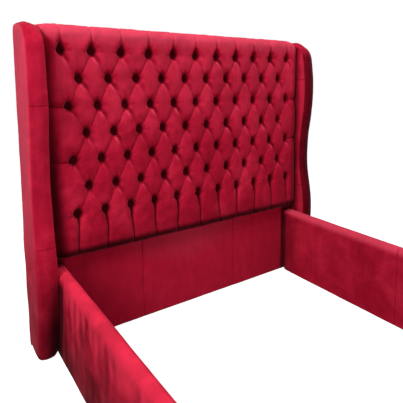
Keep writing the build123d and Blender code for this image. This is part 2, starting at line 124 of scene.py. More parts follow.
def ease(values: Array, start: float, end: float) -> Array:
    """Smooth step from 0 at start to 1 at end: 3 t squared less 2 t cubed.

    Args:
        values: Places to evaluate.
        start: Place where the step begins.
        end: Place where it is complete, on either side of the start.

    Returns:
        The step at each place.
    """
    part = np.clip((values - start) / (end - start), 0.0, 1.0)
    return part * part * (3.0 - 2.0 * part)


def bell(values: Array, width: float) -> Array:
    """Exp of minus the square of a value over a width."""
    return np.exp(-((values / width) ** 2))


def drift(points: Array, length: float, seed: int) -> Array:
    """Soft uneven swell: a sum of plane sine waves with seeded directions, near -1 to 1.

    Args:
        points: Points, with X, Y and Z in the last axis.
        length: Mean length of the waves.
        seed: Number that fixes the directions and phases.

    Returns:
        One value a point.
    """
    chance = np.random.RandomState(seed)
    total = np.zeros(points.shape[:-1])
    for _ in range(DRIFT_WAVES):
        heading = chance.normal(size=3)
        heading /= np.linalg.norm(heading)
        pace = 2.0 * math.pi / (length * chance.uniform(0.6, 1.5))
        total += np.sin(points @ heading * pace + chance.uniform(0.0, 2.0 * math.pi))
    return total / math.sqrt(DRIFT_WAVES)


def wrapped(angle: float) -> float:
    """Angle brought to within half a turn of 0."""
    return (angle + math.pi) % (2.0 * math.pi) - math.pi


def arc_towards(start: Array, heading: float, end: Array) -> Array:
    """Arc that leaves a point in a heading and passes through another.

    The chord makes an angle a with the heading, so the arc turns by 2a in all, and the point
    at a turn t lies at a chord of 2r sin(t/2), in the heading turned by t/2.

    Args:
        start: First point, in the plane.
        heading: Direction at the first point, in radians.
        end: Last point.

    Returns:
        Points of the arc about a millimetre apart, from the first to the last.
    """
    chord = end - start
    reach = float(np.hypot(*chord))
    angle = wrapped(math.atan2(chord[1], chord[0]) - heading)
    share = np.linspace(0.0, 1.0, max(3, int(reach * 1.2 / MM) + 2))
    if abs(angle) < 1e-4:
        return start + share[:, None] * chord
    turn = 2.0 * angle * share
    length = reach / math.sin(angle) * np.sin(turn / 2.0)
    way = heading + turn / 2.0
    return start + np.stack([length * np.cos(way), length * np.sin(way)], axis=1)


def end_heading(points: Array) -> float:
    """Direction of a run of points at its last one, in radians, carried on by half a step."""
    before, last = (math.atan2(step[1], step[0]) for step in np.diff(points[-3:], axis=0))
    return last + wrapped(last - before) / 2.0


def without_doubles(points: Array, least: float) -> Array:
    """Points of a line that lie further than a least distance from the one before."""
    return points[np.concatenate([[True], np.hypot(*np.diff(points, axis=0).T) > least])]


@dataclass(frozen=True)
class Track:
    """A line in a plane, measured along its length, with its normals on its right."""

    points: Array
    closed: bool = False

    @property
    def ring(self) -> Array:
        """The points, and the first once more at the end of a closed track."""
        return np.vstack([self.points, self.points[:1]]) if self.closed else self.points

    @property
    def lengths(self) -> Array:
        """Distance along the track at each point of its ring."""
        return np.concatenate([[0.0], np.cumsum(np.hypot(*np.diff(self.ring, axis=0).T))])

    @property
    def length(self) -> float:
        """Whole length of the track."""
        return float(self.lengths[-1])

    def at(self, places: Array) -> tuple[Array, Array]:
        """Points and unit normals at given distances along the track.

        The normal is the heading turned a quarter to the right, and the heading is the
        difference of the points a millimetre either side.

        Args:
            places: Distances along the track.

        Returns:
            The points and the normals, one row a place.
        """
        lengths, ring = self.lengths, self.ring

        def along(where: Array) -> Array:
            """Points at distances, wrapped or held at the ends."""
            held = where % lengths[-1] if self.closed else np.clip(where, 0.0, lengths[-1])
            return np.stack([np.interp(held, lengths, ring[:, axis]) for axis in (0, 1)], axis=1)

        heading = along(places + MM) - along(places - MM)
        heading /= np.linalg.norm(heading, axis=1, keepdims=True)
        return along(places), np.stack([heading[:, 1], -heading[:, 0]], axis=1)

    def spaced(self, step: float, axis: int, seams: tuple[float, ...]) -> Array:
        """Places along the track at an even step, and at a finer one where seams cross it.

        Args:
            step: Step away from the seams.
            axis: Coordinate that the seams' places are given on.
            seams: Place of each seam.

        Returns:
            The places, sorted, from 0 up to but not including the length.
        """
        lengths, length = self.lengths, self.length
        places = np.linspace(0.0, length, int(length / step) + 1, endpoint=False)
        for seam in seams:
            for index in np.nonzero(np.diff(np.sign(self.points[:, axis] - seam)))[0]:
                start, end = lengths[index] - SEAM_REACH, lengths[index] + SEAM_REACH
                kept = places[(places < start) | (places > end)]
                places = np.concatenate([kept, np.arange(start, end, SEAM_STEP)])
        merged = np.unique(np.round(places % length, 7))
        return merged[np.concatenate([[True], np.diff(merged) > SEAM_STEP * 0.4])]


def rounded_track(corners: list[Pair], radii: list[float], closed: bool) -> Track:
    """Track through corners, each rounded by an arc that is tangent to its two runs.

    An arc of radius r at a turn t starts r tan(t/2) before its corner and ends as far after.

    Args:
        corners: Corner points, in order.
        radii: Radius at each corner; the ends of an open track are not rounded.
        closed: Whether the track joins up.

    Returns:
        The track, with points about a millimetre apart.
    """
    places = [np.array(corner, dtype=float) for corner in corners]
    count = len(places)
    runs: list[Array] = []
    for index, corner in enumerate(places):
        if not closed and index in (0, count - 1):
            runs.append(corner[None, :])
            continue
        before, after = places[index - 1] - corner, places[(index + 1) % count] - corner
        before /= np.hypot(*before)
        after /= np.hypot(*after)
        turn = math.pi - math.acos(float(np.clip(before @ after, -1.0, 1.0)))
        back = radii[index] * math.tan(turn / 2.0)
        heading = math.atan2(-before[1], -before[0])
        runs.append(arc_towards(corner + before * back, heading, corner + after * back))
    joined: list[Array] = []
    for index, run in enumerate(runs):
        joined.append(run)
        if closed or index < count - 1:
            gap = runs[(index + 1) % count][0] - run[-1]
            share = np.linspace(0.0, 1.0, max(2, int(np.hypot(*gap) / MM) + 2))[1:-1, None]
            joined.append(run[-1] + share * gap)
    return Track(without_doubles(np.vstack(joined), 1e-7), closed)


def framed_track(low: Pair, high: Pair, radii: tuple[float, ...]) -> Track:
    """Closed track round a rectangle, from its lower far corner, normals outward.

    Args:
        low: Lowest first and second coordinate.
        high: Highest first and second coordinate.
        radii: Radius at each corner.

    Returns:
        The track.
    """
    corners = [(high[0], low[1]), high, (low[0], high[1]), low]
    return rounded_track(corners, list(radii), True)


def grid_quads(rows: int, columns: int, row_loop: bool = False, column_loop: bool = False) -> Array:
    """Quads of a grid of points numbered row by row.

    Args:
        rows: Number of rows.
        columns: Number of points in a row.
        row_loop: Whether the last row joins the first.
        column_loop: Whether each row closes on itself.

    Returns:
        Four point numbers a quad.
    """
    down = np.arange(rows if row_loop else rows - 1)
    across = np.arange(columns if column_loop else columns - 1)
    row, column = np.meshgrid(down, across, indexing="ij")
    this, below = row * columns, (row + 1) % rows * columns
    beside = (column + 1) % columns
    return np.stack([this + column, this + beside, below + beside, below + column], -1).reshape(-1, 4)


def new_piece(name: str, points: Array, faces: list[Array], nap: Array | None = None) -> Piece:
    """Smooth mesh object from points and faces, with doubles merged and normals outward.

    Args:
        name: Name of the object.
        points: Points, one row each.
        faces: Arrays of faces, each with one width.
        nap: Painted light and shade at each point.

    Returns:
        The object, linked to the scene at the origin.
    """
    mesh = bpy.data.meshes.new(name)
    mesh.vertices.add(len(points))
    mesh.vertices.foreach_set("co", np.ascontiguousarray(points, dtype=np.float32).ravel())
    corners = np.concatenate([group.ravel() for group in faces]).astype(np.int32)
    sizes = np.concatenate([np.full(len(group), group.shape[1]) for group in faces])
    mesh.loops.add(len(corners))
    mesh.loops.foreach_set("vertex_index", corners)
    mesh.polygons.add(len(sizes))
    starts = np.concatenate([[0], np.cumsum(sizes)[:-1]]).astype(np.int32)
    mesh.polygons.foreach_set("loop_start", starts)
    mesh.update(calc_edges=True)
    # The nap attribute holds the painted light and shade that the velvet's colour is multiplied by.
    if nap is not None:
        lie = mesh.attributes.new("nap", "FLOAT", "POINT")
        lie.data.foreach_set("value", nap.astype(np.float32).ravel())
    mesh.validate()
    clean_up(mesh)
    piece = bpy.data.objects.new(name, mesh)
    bpy.context.scene.collection.objects.link(piece)
    return piece


def clean_up(mesh: bpy.types.Mesh) -> None:
    """Merge a mesh's doubles, turn its faces outwards and shade them smooth.

    Args:
        mesh: Mesh, changed in place.
    """
    work = bmesh.new()
    work.from_mesh(mesh)
    bmesh.ops.remove_doubles(work, verts=work.verts, dist=WELD)
    bmesh.ops.dissolve_degenerate(work, edges=work.edges, dist=WELD * 0.1)
    bmesh.ops.recalc_face_normals(work, faces=work.faces)
    if work.calc_volume(signed=True) < 0.0:
        bmesh.ops.reverse_faces(work, faces=work.faces)
    work.to_mesh(mesh)
    work.free()
    mesh.polygons.foreach_set("use_smooth", np.ones(len(mesh.polygons), dtype=bool))
    mesh.update()


def dress(piece: Piece, finish: Material) -> None:
    """Give every face of an object one material, in place of those it has."""
    piece.data.materials.clear()
    piece.data.materials.append(finish)


def stand_in(piece: Piece, node: str, finish: Material) -> None:
    """Let a piece be seen in place of a CAD node, on the bed's one body.

    Args:
        piece: Piece that is seen.
        node: CAD node that it hides.
        finish: Material of every face.
    """
    dress(piece, finish)
    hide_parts(node)
    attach(piece, "root")


def padded_piece(
    name: str,
    node: str,
    points: Array,
    faces: list[Array],
    nap: Array,
    finish: Material,
) -> Piece:
    """Padded piece that stands for a CAD node.

    Args:
        name: Name of the piece.
        node: CAD node that it hides.
        points: Points, with X, Y and Z in the last axis.
        faces: Arrays of faces, each with one width.
        nap: Painted light and shade at each point.
        finish: Material of the cover.

    Returns:
        The piece.
    """
    piece = new_piece(name, points.reshape(-1, 3), faces, nap)
    stand_in(piece, node, finish)
    return piece


class Recipe:
    """Node tree of a material while it is being laid out."""

    def __init__(self, name: str, **values: object) -> None:
        """Start a material with a Principled shader.

        Args:
            name: Name of the material.
            values: Constant values for the shader's own sockets, with _ for a space.
        """
        self.material = bpy.data.materials.new(name)
        self.material.use_nodes = True
        self.nodes = self.material.node_tree.nodes
        self.links = self.material.node_tree.links
        self.shader = next(node for node in self.nodes if node.type == "BSDF_PRINCIPLED")
        self.place = self.nodes.new("ShaderNodeTexCoord").outputs["Object"]
        self.fill_in(self.shader, {key.replace("_", " "): value for key, value in values.items()})

    def fill_in(self, node: bpy.types.Node, values: dict[str, object]) -> None:
        """Write constant values on a node's sockets."""
        for key, value in values.items():
            node.inputs[key].default_value = value

    def stretch(self, scale: Colour) -> Socket:
        """Object coordinates scaled along each axis.

        Args:
            scale: Factor along each axis.

        Returns:
            The coordinates' socket.
        """
        mapping = self.nodes.new("ShaderNodeMapping")
        mapping.inputs["Scale"].default_value = scale
        self.links.new(self.place, mapping.inputs["Vector"])
        return mapping.outputs["Vector"]

    def noise(
        self,
        scale: float,
        detail: float = 3.0,
        roughness: float = 0.5,
        distortion: float = 0.0,
        place: Socket | None = None,
    ) -> Socket:
        """Noise value at object coordinates.

        Args:
            scale: Waves a metre.
            detail: Number of finer octaves.
            roughness: Strength of the finer octaves.
            distortion: How far the pattern is pulled about.
            place: Coordinates to use in place of the object's.

        Returns:
            The noise value's socket.
        """
        node = self.nodes.new("ShaderNodeTexNoise")
        self.fill_in(node, {"Scale": scale, "Detail": detail, "Roughness": roughness, "Distortion": distortion})
        self.links.new(self.place if place is None else place, node.inputs["Vector"])
        return node.outputs["Fac"]

    def ramp(self, value: Socket, low: tuple[float, Colour], *others: tuple[float, Colour]) -> Socket:
        """Colour ramp of a value.

        Args:
            value: Socket that drives the ramp.
            low: Place and colour of the first stop.
            others: Place and colour of each further stop.

        Returns:
            The colour's socket.
        """
        node = self.nodes.new("ShaderNodeValToRGB")
        band = node.color_ramp
        while len(band.elements) < len(others) + 1:
            band.elements.new(0.5)
        for element, (place, colour) in zip(band.elements, (low, *others)):
            element.position = place
            element.color = (*colour, 1.0)
        self.links.new(value, node.inputs["Fac"])
        return node.outputs["Color"]

    def dim(self, tone: Socket, value: Socket, stops: Pair, dark: Colour, share: float) -> Socket:
        """Colour darkened where a value is low.

        Args:
            tone: Colour to darken.
            value: Socket that drives the darkening.
            stops: Values at which it is full and at which it ends.
            dark: Colour that it multiplies by where it is full.
            share: Share of the darkening that is taken.

        Returns:
            The colour's socket.
        """
        node = self.nodes.new("ShaderNodeMix")
        node.data_type, node.blend_type = "RGBA", "MULTIPLY"
        node.inputs[0].default_value = share
        self.links.new(tone, node.inputs[6])
        self.links.new(self.ramp(value, (stops[0], dark), (stops[1], WHITE)), node.inputs[7])
        return node.outputs[2]

    def blend(self, first: Socket, second: Colour, share: Socket) -> Socket:
        """One colour turned towards a fixed one, by the value of a socket.

        Args:
            first: Colour where the share is 0.
            second: Colour where the share is 1.
            share: Socket of the share.

        Returns:
            The colour's socket.
        """
        node = self.nodes.new("ShaderNodeMix")
        node.data_type = "RGBA"
        self.links.new(share, node.inputs[0])
        self.links.new(first, node.inputs[6])
        node.inputs[7].default_value = (*second, 1.0)
        return node.outputs[2]

    def spread(self, value: Socket, low: float, high: float, out_low: float, out_high: float) -> Socket:
        """Value carried from one range to another, held at the ends.

        Args:
            value: Socket of the value.
            low: Start of its range.
            high: End of its range.
            out_low: Value that the start is carried to.
            out_high: Value that the end is carried to.

        Returns:
            The carried value's socket.
        """
        node = self.nodes.new("ShaderNodeMapRange")
        self.fill_in(node, {"From Min": low, "From Max": high, "To Min": out_low, "To Max": out_high})
        self.links.new(value, node.inputs["Value"])
        return node.outputs["Result"]

    def finish(self, colour: Socket, rough: Socket | None, *bumps: tuple[Socket, float, float]) -> Material:
        """Send the colour, the roughness and a chain of bumps to the shader.

        Args:
            colour: Socket of the base colour.
            rough: Socket of the roughness, or None to leave it constant.
            bumps: Height socket, strength and distance of each bump, coarse ones first.

        Returns:
            The material.
        """
        self.links.new(colour, self.shader.inputs["Base Color"])
        if rough is not None:
            self.links.new(rough, self.shader.inputs["Roughness"])
        normal: Socket | None = None
        for height, strength, distance in bumps:
            node = self.nodes.new("ShaderNodeBump")
            self.fill_in(node, {"Strength": strength, "Distance": distance})
            self.links.new(height, node.inputs["Height"])
            if normal is not None:
                self.links.new(normal, node.inputs["Normal"])
            normal = node.outputs["Normal"]
        if normal is not None:
            self.links.new(normal, self.shader.inputs["Normal"])
        return self.material


@dataclass(frozen=True)
class Velvet:
    """Crushed velvet: a dark ground, a bright nap in soft patches and strokes, a sheen, and painted light and
    shade.
    """

    name: str = "crimson_velvet"
    ground: Colour = (0.54, 0.008, 0.036)
    body: Colour = (0.68, 0.013, 0.052)
    nap: Colour = (0.84, 0.024, 0.074)
    # Colour of the painted highlight, where the nap attribute stands above its even level.
    tip: Colour = (0.78, 0.10, 0.165)
    sheen: float = 0.36
    sheen_tint: tuple[float, float, float, float] = (1.0, 0.24, 0.31, 1.0)
    glint: tuple[float, float, float, float] = (0.9, 0.14, 0.19, 1.0)
    cloud: float = 1.0
    brushed: float = 0.78
    brush: Colour = (38.0, 38.0, 9.0)

    def make(self) -> Material:
        """Material of the velvet: patches of nap, brush strokes, mottling, fine pile and painted light and
        shade.

        Returns:
            The material.
        """
        shader = {"Sheen_Weight": self.sheen, "Sheen_Roughness": 0.38, "Sheen_Tint": self.sheen_tint}
        recipe = Recipe(self.name, Specular_IOR_Level=0.05, Specular_Tint=self.glint, IOR=1.45, **shader)
        patches = recipe.noise(6.5, detail=4.0, roughness=0.55, distortion=0.8)
        strokes = recipe.noise(1.0, 4.0, 0.6, 0.3, recipe.stretch(self.brush))
        mottle = recipe.noise(70.0, roughness=0.6)
        pile = recipe.noise(1500.0, detail=2.0, roughness=0.7)
        attribute = recipe.nodes.new("ShaderNodeAttribute")
        attribute.attribute_name = "nap"
        lie = attribute.outputs["Fac"]
        reach = 0.2 / self.cloud
        tone = recipe.ramp(patches, (0.5 - reach, self.ground), (0.5, self.body), (0.5 + reach, self.nap))
        stroke = (self.brushed, self.brushed - 0.02, self.brushed - 0.02)
        tone = recipe.dim(tone, strokes, (0.28, 0.62), stroke, 0.75)
        tone = recipe.dim(tone, mottle, (0.25, 0.65), (0.84, 0.82, 0.82), 0.8)
        tone = recipe.dim(tone, pile, (0.25, 0.70), (0.80, 0.78, 0.78), 0.7)
        # Painted shade: the colour is multiplied by the nap attribute, near black where it is 0.
        tone = recipe.dim(tone, lie, (0.0, 1.0), (0.03, 0.02, 0.02), 1.0)
        # Painted highlight: past its even level the colour turns towards the highlight colour.
        tone = recipe.blend(tone, self.tip, recipe.spread(lie, EVEN_PAINTED_LIGHT + 0.04, 1.0, 0.0, 0.42))
        coarse = (patches, 0.35, 1.2 * MM), (strokes, 0.35, 0.7 * MM)
        fine = (mottle, 0.3, 0.3 * MM), (pile, 0.5, 0.12 * MM)
        return recipe.finish(tone, recipe.spread(patches, 0.3, 0.7, 0.92, 0.74), *coarse, *fine)


# Darker copy of the velvet for the buttons, as painted shade down in the wells.
SHADED_BUTTON_VELVET = Velvet("button_velvet", (0.13, 0.002, 0.008), (0.22, 0.004, 0.014), (0.30, 0.008, 0.022))
# Brighter copy of the velvet for the plain panel, as painted light, with fainter patches.
LIT_PANEL_VELVET = Velvet(
    "plain_velvet", (0.68, 0.011, 0.048), (0.82, 0.017, 0.066), (0.96, 0.026, 0.088), cloud=0.35
)
CRUSHED_VELVET = Velvet(
    "rail_velvet",
    ground=(0.40, 0.006, 0.026),
    # Painted highlight colour for the rail's lit top.
    tip=(0.92, 0.045, 0.095),
    sheen=0.05,
    cloud=1.2,
    brushed=0.72,
    brush=(30.0, 10.0, 13.0),
)


@dataclass(frozen=True)
class DustCloth:
    """Black woven cloth for the back of the frame."""

    name: str = "black_dust_cloth"
    threads: float = 900.0

    def make(self) -> Material:
        """Material of the cloth: two crossed waves of thread over a faint unevenness.

        Returns:
            The material.
        """
        recipe = Recipe(self.name, Specular_IOR_Level=0.2, Sheen_Weight=0.12)
        waves = []
        for direction in ("X", "Z"):
            wave = recipe.nodes.new("ShaderNodeTexWave")
            wave.bands_direction = direction
            recipe.fill_in(wave, {"Scale": self.threads / 6.0, "Distortion": 0.6})
            recipe.links.new(recipe.place, wave.inputs["Vector"])
            waves.append(wave.outputs["Fac"])
        uneven = recipe.noise(9.0, detail=4.0, roughness=0.6)
        tone = recipe.ramp(uneven, (0.3, (0.011, 0.010, 0.010)), (0.7, (0.026, 0.024, 0.024)))
        for wave, grey in zip(waves, (0.6, 0.7)):
            tone = recipe.dim(tone, wave, (0.1, 0.8), (grey, grey, grey), 0.8)
        bumps = (uneven, 0.3, 1.0 * MM), (waves[0], 0.4, 0.1 * MM), (waves[1], 0.4, 0.1 * MM)
        return recipe.finish(tone, recipe.spread(uneven, 0.3, 0.7, 0.95, 0.82), *bumps)


@dataclass(frozen=True)
class Timber:
    """Planed timber or board: grain that runs along one axis, with pores and small knots."""

    name: str
    light: Colour
    dark: Colour
    grain: Colour = (14.0, 14.0, 1.6)
    roughness: float = 0.62

    def make(self) -> Material:
        """Material of the timber: stretched growth bands, fine pores and soft stains.

        Returns:
            The material.
        """
        recipe = Recipe(self.name, Specular_IOR_Level=0.35)
        along = recipe.stretch(self.grain)
        bands = recipe.noise(1.6, 5.0, 0.62, 1.4, along)
        pores = recipe.noise(26.0, roughness=0.7, place=along)
        stain = recipe.noise(3.5, detail=2.0)
        between = tuple(0.5 * (a + b) for a, b in zip(self.dark, self.light))
        tone = recipe.ramp(bands, (0.32, self.dark), (0.52, self.light), (0.68, between))
        tone = recipe.dim(tone, pores, (0.30, 0.55), (0.72, 0.68, 0.62), 0.8)
        tone = recipe.dim(tone, stain, (0.3, 0.7), (0.88, 0.86, 0.84), 0.8)
        rough = recipe.spread(bands, 0.3, 0.7, self.roughness + 0.1, self.roughness - 0.06)
        return recipe.finish(tone, rough, (bands, 0.25, 0.5 * MM), (pores, 0.3, 0.25 * MM))


@dataclass(frozen=True)
class PlatedSteel:
    """Zinc plated steel: a mottled grey with fine rolling marks."""

    name: str = "plated_steel"

    def make(self) -> Material:
        """Material of the steel: spangle, streaks and dulled patches.

        Returns:
            The material.
        """
        recipe = Recipe(self.name, Metallic=1.0)
        spangle = recipe.noise(260.0, roughness=0.55)
        streaks = recipe.noise(1.0, place=recipe.stretch((900.0, 60.0, 900.0)))
        tone = recipe.ramp(spangle, (0.3, (0.42, 0.43, 0.45)), (0.7, (0.62, 0.62, 0.60)))
        rough = recipe.spread(spangle, 0.3, 0.7, 0.46, 0.30)
        return recipe.finish(tone, rough, (streaks, 0.25, 0.05 * MM), (spangle, 0.2, 0.04 * MM))


@dataclass(frozen=True)
class MouldedPlastic:
    """Black moulded plastic with a fine spark-eroded grain and scuffs."""

    name: str = "moulded_plastic"

    def make(self) -> Material:
        """Material of the plastic: a fine grain and paler scuffs.

        Returns:
            The material.
        """
        recipe = Recipe(self.name, Specular_IOR_Level=0.4)
        grain = recipe.noise(2200.0, detail=2.0)
        scuffs = recipe.noise(120.0, detail=5.0, roughness=0.7, distortion=0.8)
        tone = recipe.ramp(scuffs, (0.45, (0.012, 0.012, 0.013)), (0.75, (0.045, 0.044, 0.043)))
        return recipe.finish(tone, recipe.spread(scuffs, 0.3, 0.8, 0.42, 0.70), (grain, 0.35, 0.05 * MM))


@dataclass(frozen=True)
class WaxedTwine:
    """Pale waxed twine, twisted along its run."""

    name: str = "waxed_twine"

    def make(self) -> Material:
        """Material of the twine: a close twist across its run, and wax that dulls it.

        Returns:
            The material.
        """
        recipe = Recipe(self.name, Specular_IOR_Level=0.4)
        twist = recipe.noise(1.0, detail=2.0, place=recipe.stretch((900.0, 420.0, 900.0)))
        wax = recipe.noise(90.0)
        tone = recipe.ramp(twist, (0.35, (0.36, 0.31, 0.22)), (0.65, (0.66, 0.60, 0.48)))
        tone = recipe.dim(tone, wax, (0.3, 0.7), (0.85, 0.83, 0.78), 0.7)
        return recipe.finish(tone, recipe.spread(wax, 0.3, 0.7, 0.5, 0.75), (twist, 0.5, 0.3 * MM))


@dataclass
class ButtonedPad:
    """Deep buttoned pad: a net of pleats between buttons, with fluted ends and rolled edges.

    The surface is a profile carried across the bed, pressed in by a depth worked out from
    the net. u counts half columns from the middle and v counts rows down from the first.
    """

    half_width: float
    top: float
    bottom: float
    back: float
    board: float
    seat: float
    front: float
    well: float
    last_column: int = 10
    last_row: int = 6
    side_margin: float = 95.0 * MM
    top_margin: float = 115.0 * MM
    bottom_margin: float = 207.0 * MM
    roll_round: float = 46.0 * MM
    back_round: float = 9.0 * MM
    side_round: float = 48.0 * MM
    pleat_height_share: float = 0.74
    pleat_power: float = 0.5
    crown_power: float = 0.42
    well_inner: float = 10.0 * MM
    well_outer: float = 31.0 * MM
    well_lift: float = 4.0 * MM
    well_power: float = 1.6
    gather_ring: float = 28.0 * MM
    gather_width: float = 11.0 * MM
    fold_width: float = 7.0 * MM
    corner_drop: float = 12.0 * MM
    divisions: int = 20
    crowding_share: float = 0.35
    wall_steps: int = 4
    pull_right: float = 8.0 * MM
    pull_down: float = 4.0 * MM
    lean_left: float = 26.0 * MM
    lean_back: float = 34.0 * MM
    last_row_pull: float = 8.0 * MM
    flute_waver: float = 6.0 * MM
    # Strengths of the painted shade and painted highlight in the nap attribute.
    well_shade: float = 0.80
    roll_light: float = 0.28
    foot_shade: float = 0.90
    left_shade: float = 0.86
    right_shade: float = 0.60
    slit_shade: float = 0.85
    lap_shadow: float = 0.50
    lap_light: float = 0.15
    seed: int = 4

    @classmethod
    def fitted(cls, box: Boxes) -> ButtonedPad:
        """Pad that fits the CAD's own, over the posts and against the boards.

        Args:
            box: Low and high corner of every CAD node.

        Returns:
            The pad.
        """
        low, high = box["buttoned_pad"]
        return cls(
            half_width=high[0],
            top=high[2],
            bottom=low[2],
            back=high[1],
            board=box["plain_panel_pad"][1][1],
            seat=box["left_post"][1][2] + SEAT_GAP,
            front=low[1],
            well=box["tuft_buttons"][1][1],
        )

    @property
    def depth(self) -> float:
        """How far a button lies behind the crowns."""
        return self.well - self.front

    @property
    def half_column(self) -> float:
        """Half the distance between two buttons of a row."""
        return (self.half_width - self.side_margin) / self.last_column

    @property
    def top_row(self) -> float:
        """Height of the first row of buttons."""
        return self.top - self.top_margin

    @property
    def pitch(self) -> float:
        """Distance between two rows of buttons."""
        return (self.top_row - self.bottom - self.bottom_margin) / self.last_row

    def profile(self) -> Track:
        """Side profile of the pad's crowns.

        Returns:
            The open track, from the back of the pad's top to the back of its foot.
        """
        ends = [(self.back, self.seat), (self.back, self.top), (self.front, self.top)]
        corners = [*ends, (self.front, self.bottom), (self.board, self.bottom)]
        return rounded_track(corners, [0.0, self.back_round, self.roll_round, self.roll_round, 0.0], False)

    def net_lines(self, first: int, last: int) -> Array:
        """Grid lines between whole numbers, closer together near each whole number.

        A line at a share t of a step lies at t less c sin(2 pi t) / (2 pi), which is the
        same read from either end, so that the pleats run through the grid's corners.

        Args:
            first: First whole number.
            last: Last whole number.

        Returns:
            The lines, from the first to the last.
        """
        share = np.arange((last - first) * self.divisions + 1) / self.divisions
        return first + share - self.crowding_share * np.sin(2.0 * math.pi * share) / (2.0 * math.pi)

    def columns(self) -> tuple[Array, Array, Array]:
        """Grid lines across the pad.

        Returns:
            u of each line, its X, and how far the side's rounding sets it back, from 0 to 1.
        """
        net = self.net_lines(-self.last_column, self.last_column)
        round_start = self.half_width - self.side_round
        flat = np.linspace(self.last_column, round_start / self.half_column, 20)[1:]
        angle = np.linspace(0.0, QUARTER_TURN, 9)[1:]
        u = np.concatenate([flat, (round_start + self.side_round * angle) / self.half_column])
        x = np.concatenate([flat * self.half_column, round_start + self.side_round * np.sin(angle)])
        back = np.concatenate([0.0 * flat, 1.0 - np.cos(angle)])
        parts = (-u[::-1], net, u), (-x[::-1], net * self.half_column, x), (back[::-1], 0.0 * net, back)
        return tuple(np.concatenate(part) for part in parts)

    def rows(self, profile: Track) -> tuple[Array, Array]:
        """Grid lines down the pad.

        Args:
            profile: Side profile that the rows follow.

        Returns:
            v of each line, and its distance along the profile.
        """
        lengths, points = profile.lengths, profile.points
        on_front = np.abs(points[:, 0] - self.front) < 0.01 * MM
        first_row = float(np.interp(-self.top_row, -points[on_front, 1], lengths[on_front]))
        net = first_row + self.net_lines(0, self.last_row) * self.pitch
        above, below = np.linspace(0.0, first_row, 64)[:-1], np.linspace(net[-1], profile.length, 58)[1:]
        places = np.concatenate([above, net, below])
        return (places - first_row) / self.pitch, places

    def cross_section(self, place: Array) -> Array:
        """Height of the cloth along a line through two buttons, 0 at each and 1 midway.

        Args:
            place: Place along the line, with a button at each even number.

        Returns:
            The height at each place.
        """
        share = np.abs(np.sin(QUARTER_TURN * place))
        rise = self.pleat_height_share * share ** self.pleat_power
        crown = (1.0 - self.pleat_height_share) * share ** (2.0 * self.crown_power)
        return 2.0 * rise - rise * rise / self.pleat_height_share + crown

    def height(self, u: Array, v: Array) -> Array:
        """Height of the cloth over the net, from 0 at a button to 1 on a crown.

        Inside the net the pleats are the lines where s = (u + v) / 2 or t = (u - v) / 2 is
        whole. With P and Q the sines of pi s and pi t, the height is g(P) + g(Q) less their
        product over the pleats' own height, plus a crown that rises from every pleat.
        Past the net each pleat runs on straight and grows shallow.

        Args:
            u: Half columns across from the middle.
            v: Rows down from the first.

        Returns:
            The height at each place.
        """
        low = self.pleat_height_share
        sines = [np.abs(np.sin(QUARTER_TURN * line)) for line in (u + v, u - v)]
        rise_s, rise_t = (low * sine ** self.pleat_power for sine in sines)
        crown = (1.0 - low) * (sines[0] * sines[1]) ** self.crown_power
        inside = rise_s + rise_t - rise_s * rise_t / low + crown
        over = np.maximum(-v, 0.0) * self.pitch
        under = np.maximum(v - self.last_row, 0.0) * self.pitch
        column = np.clip(np.abs(u), 0.0, self.last_column + 1.0)
        across = self.cross_section(column)
        to_pleat = np.abs(column - 2.0 * np.round(column / 2.0)) * self.half_column
        creased, slit = self.over_roll(across, to_pleat, over), self.down_flute(across, to_pleat, under)
        fluted = np.where(v < 0.0, creased, slit)
        down = self.cross_section(np.clip(v, 0.0, float(self.last_row)))
        past_side = np.abs(u) - self.last_column
        side_rise = self.cross_section(np.clip(past_side, 0.0, 1.0))
        depth_share = 1.0 - 0.42 * ease(v, 0.0, 1.0) * ease(v, self.last_row, self.last_row - 1.0)
        side = 1.0 - (1.0 - side_rise * depth_share) * (1.0 - down)
        outside_rows = (v < 0.0) | (v > self.last_row)
        return np.where(outside_rows, fluted, np.where(past_side > 0.0, side, inside))

    def over_roll(self, across: Array, to_pleat: Array, over: Array) -> Array:
        """Height above the first row: each pleat narrows from its well to a fine crease.

        The crease sinks by exp of minus the distance from it over its half width, to the
        power 1.5, and its depth falls off with the distance over the roll.

        Args:
            across: Height of the cross-section at the first row.
            to_pleat: Distance from the nearest pleat.
            over: Distance above the first row, along the roll.

        Returns:
            The height at each place.
        """
        width = (4.0 + 14.0 * np.exp(-over / (32.0 * MM))) * MM
        blend = ease(over, 0.0, 16.0 * MM)
        sunk = (1.0 - across) * (1.0 - blend) + np.exp(-((to_pleat / width) ** 1.5)) * blend
        deep = 0.085 + 0.915 * np.exp(-((over / (38.0 * MM)) ** 1.8))
        return 1.0 - deep * ease(over, 0.25, 0.17) * sunk

    def down_flute(self, across: Array, to_pleat: Array, under: Array) -> Array:
        """Height below the last row: full flutes with a narrow slit between each two.

        Args:
            across: Height of the cross-section at the last row.
            to_pleat: Distance from the nearest pleat.
            under: Distance below the last row, along the skin.

        Returns:
            The height at each place.
        """
        width = (6.0 + 14.0 * np.exp(-under / (26.0 * MM))) * MM
        slit = np.exp(-((to_pleat / width) ** 1.3))
        pillow = 1.0 - np.sqrt(np.clip(1.0 - (1.0 - to_pleat / self.half_column) ** 2.4, 0.0, 1.0))
        blend = ease(under, 0.0, 30.0 * MM)
        sunk = (1.0 - across) * (1.0 - blend) + (0.62 * slit + 0.38 * pillow) * blend
        deep = 0.50 + 0.50 * np.exp(-under / (40.0 * MM))
        return 1.0 - deep * (1.0 - 0.9 * ease(under, 0.13, 0.225)) * sunk

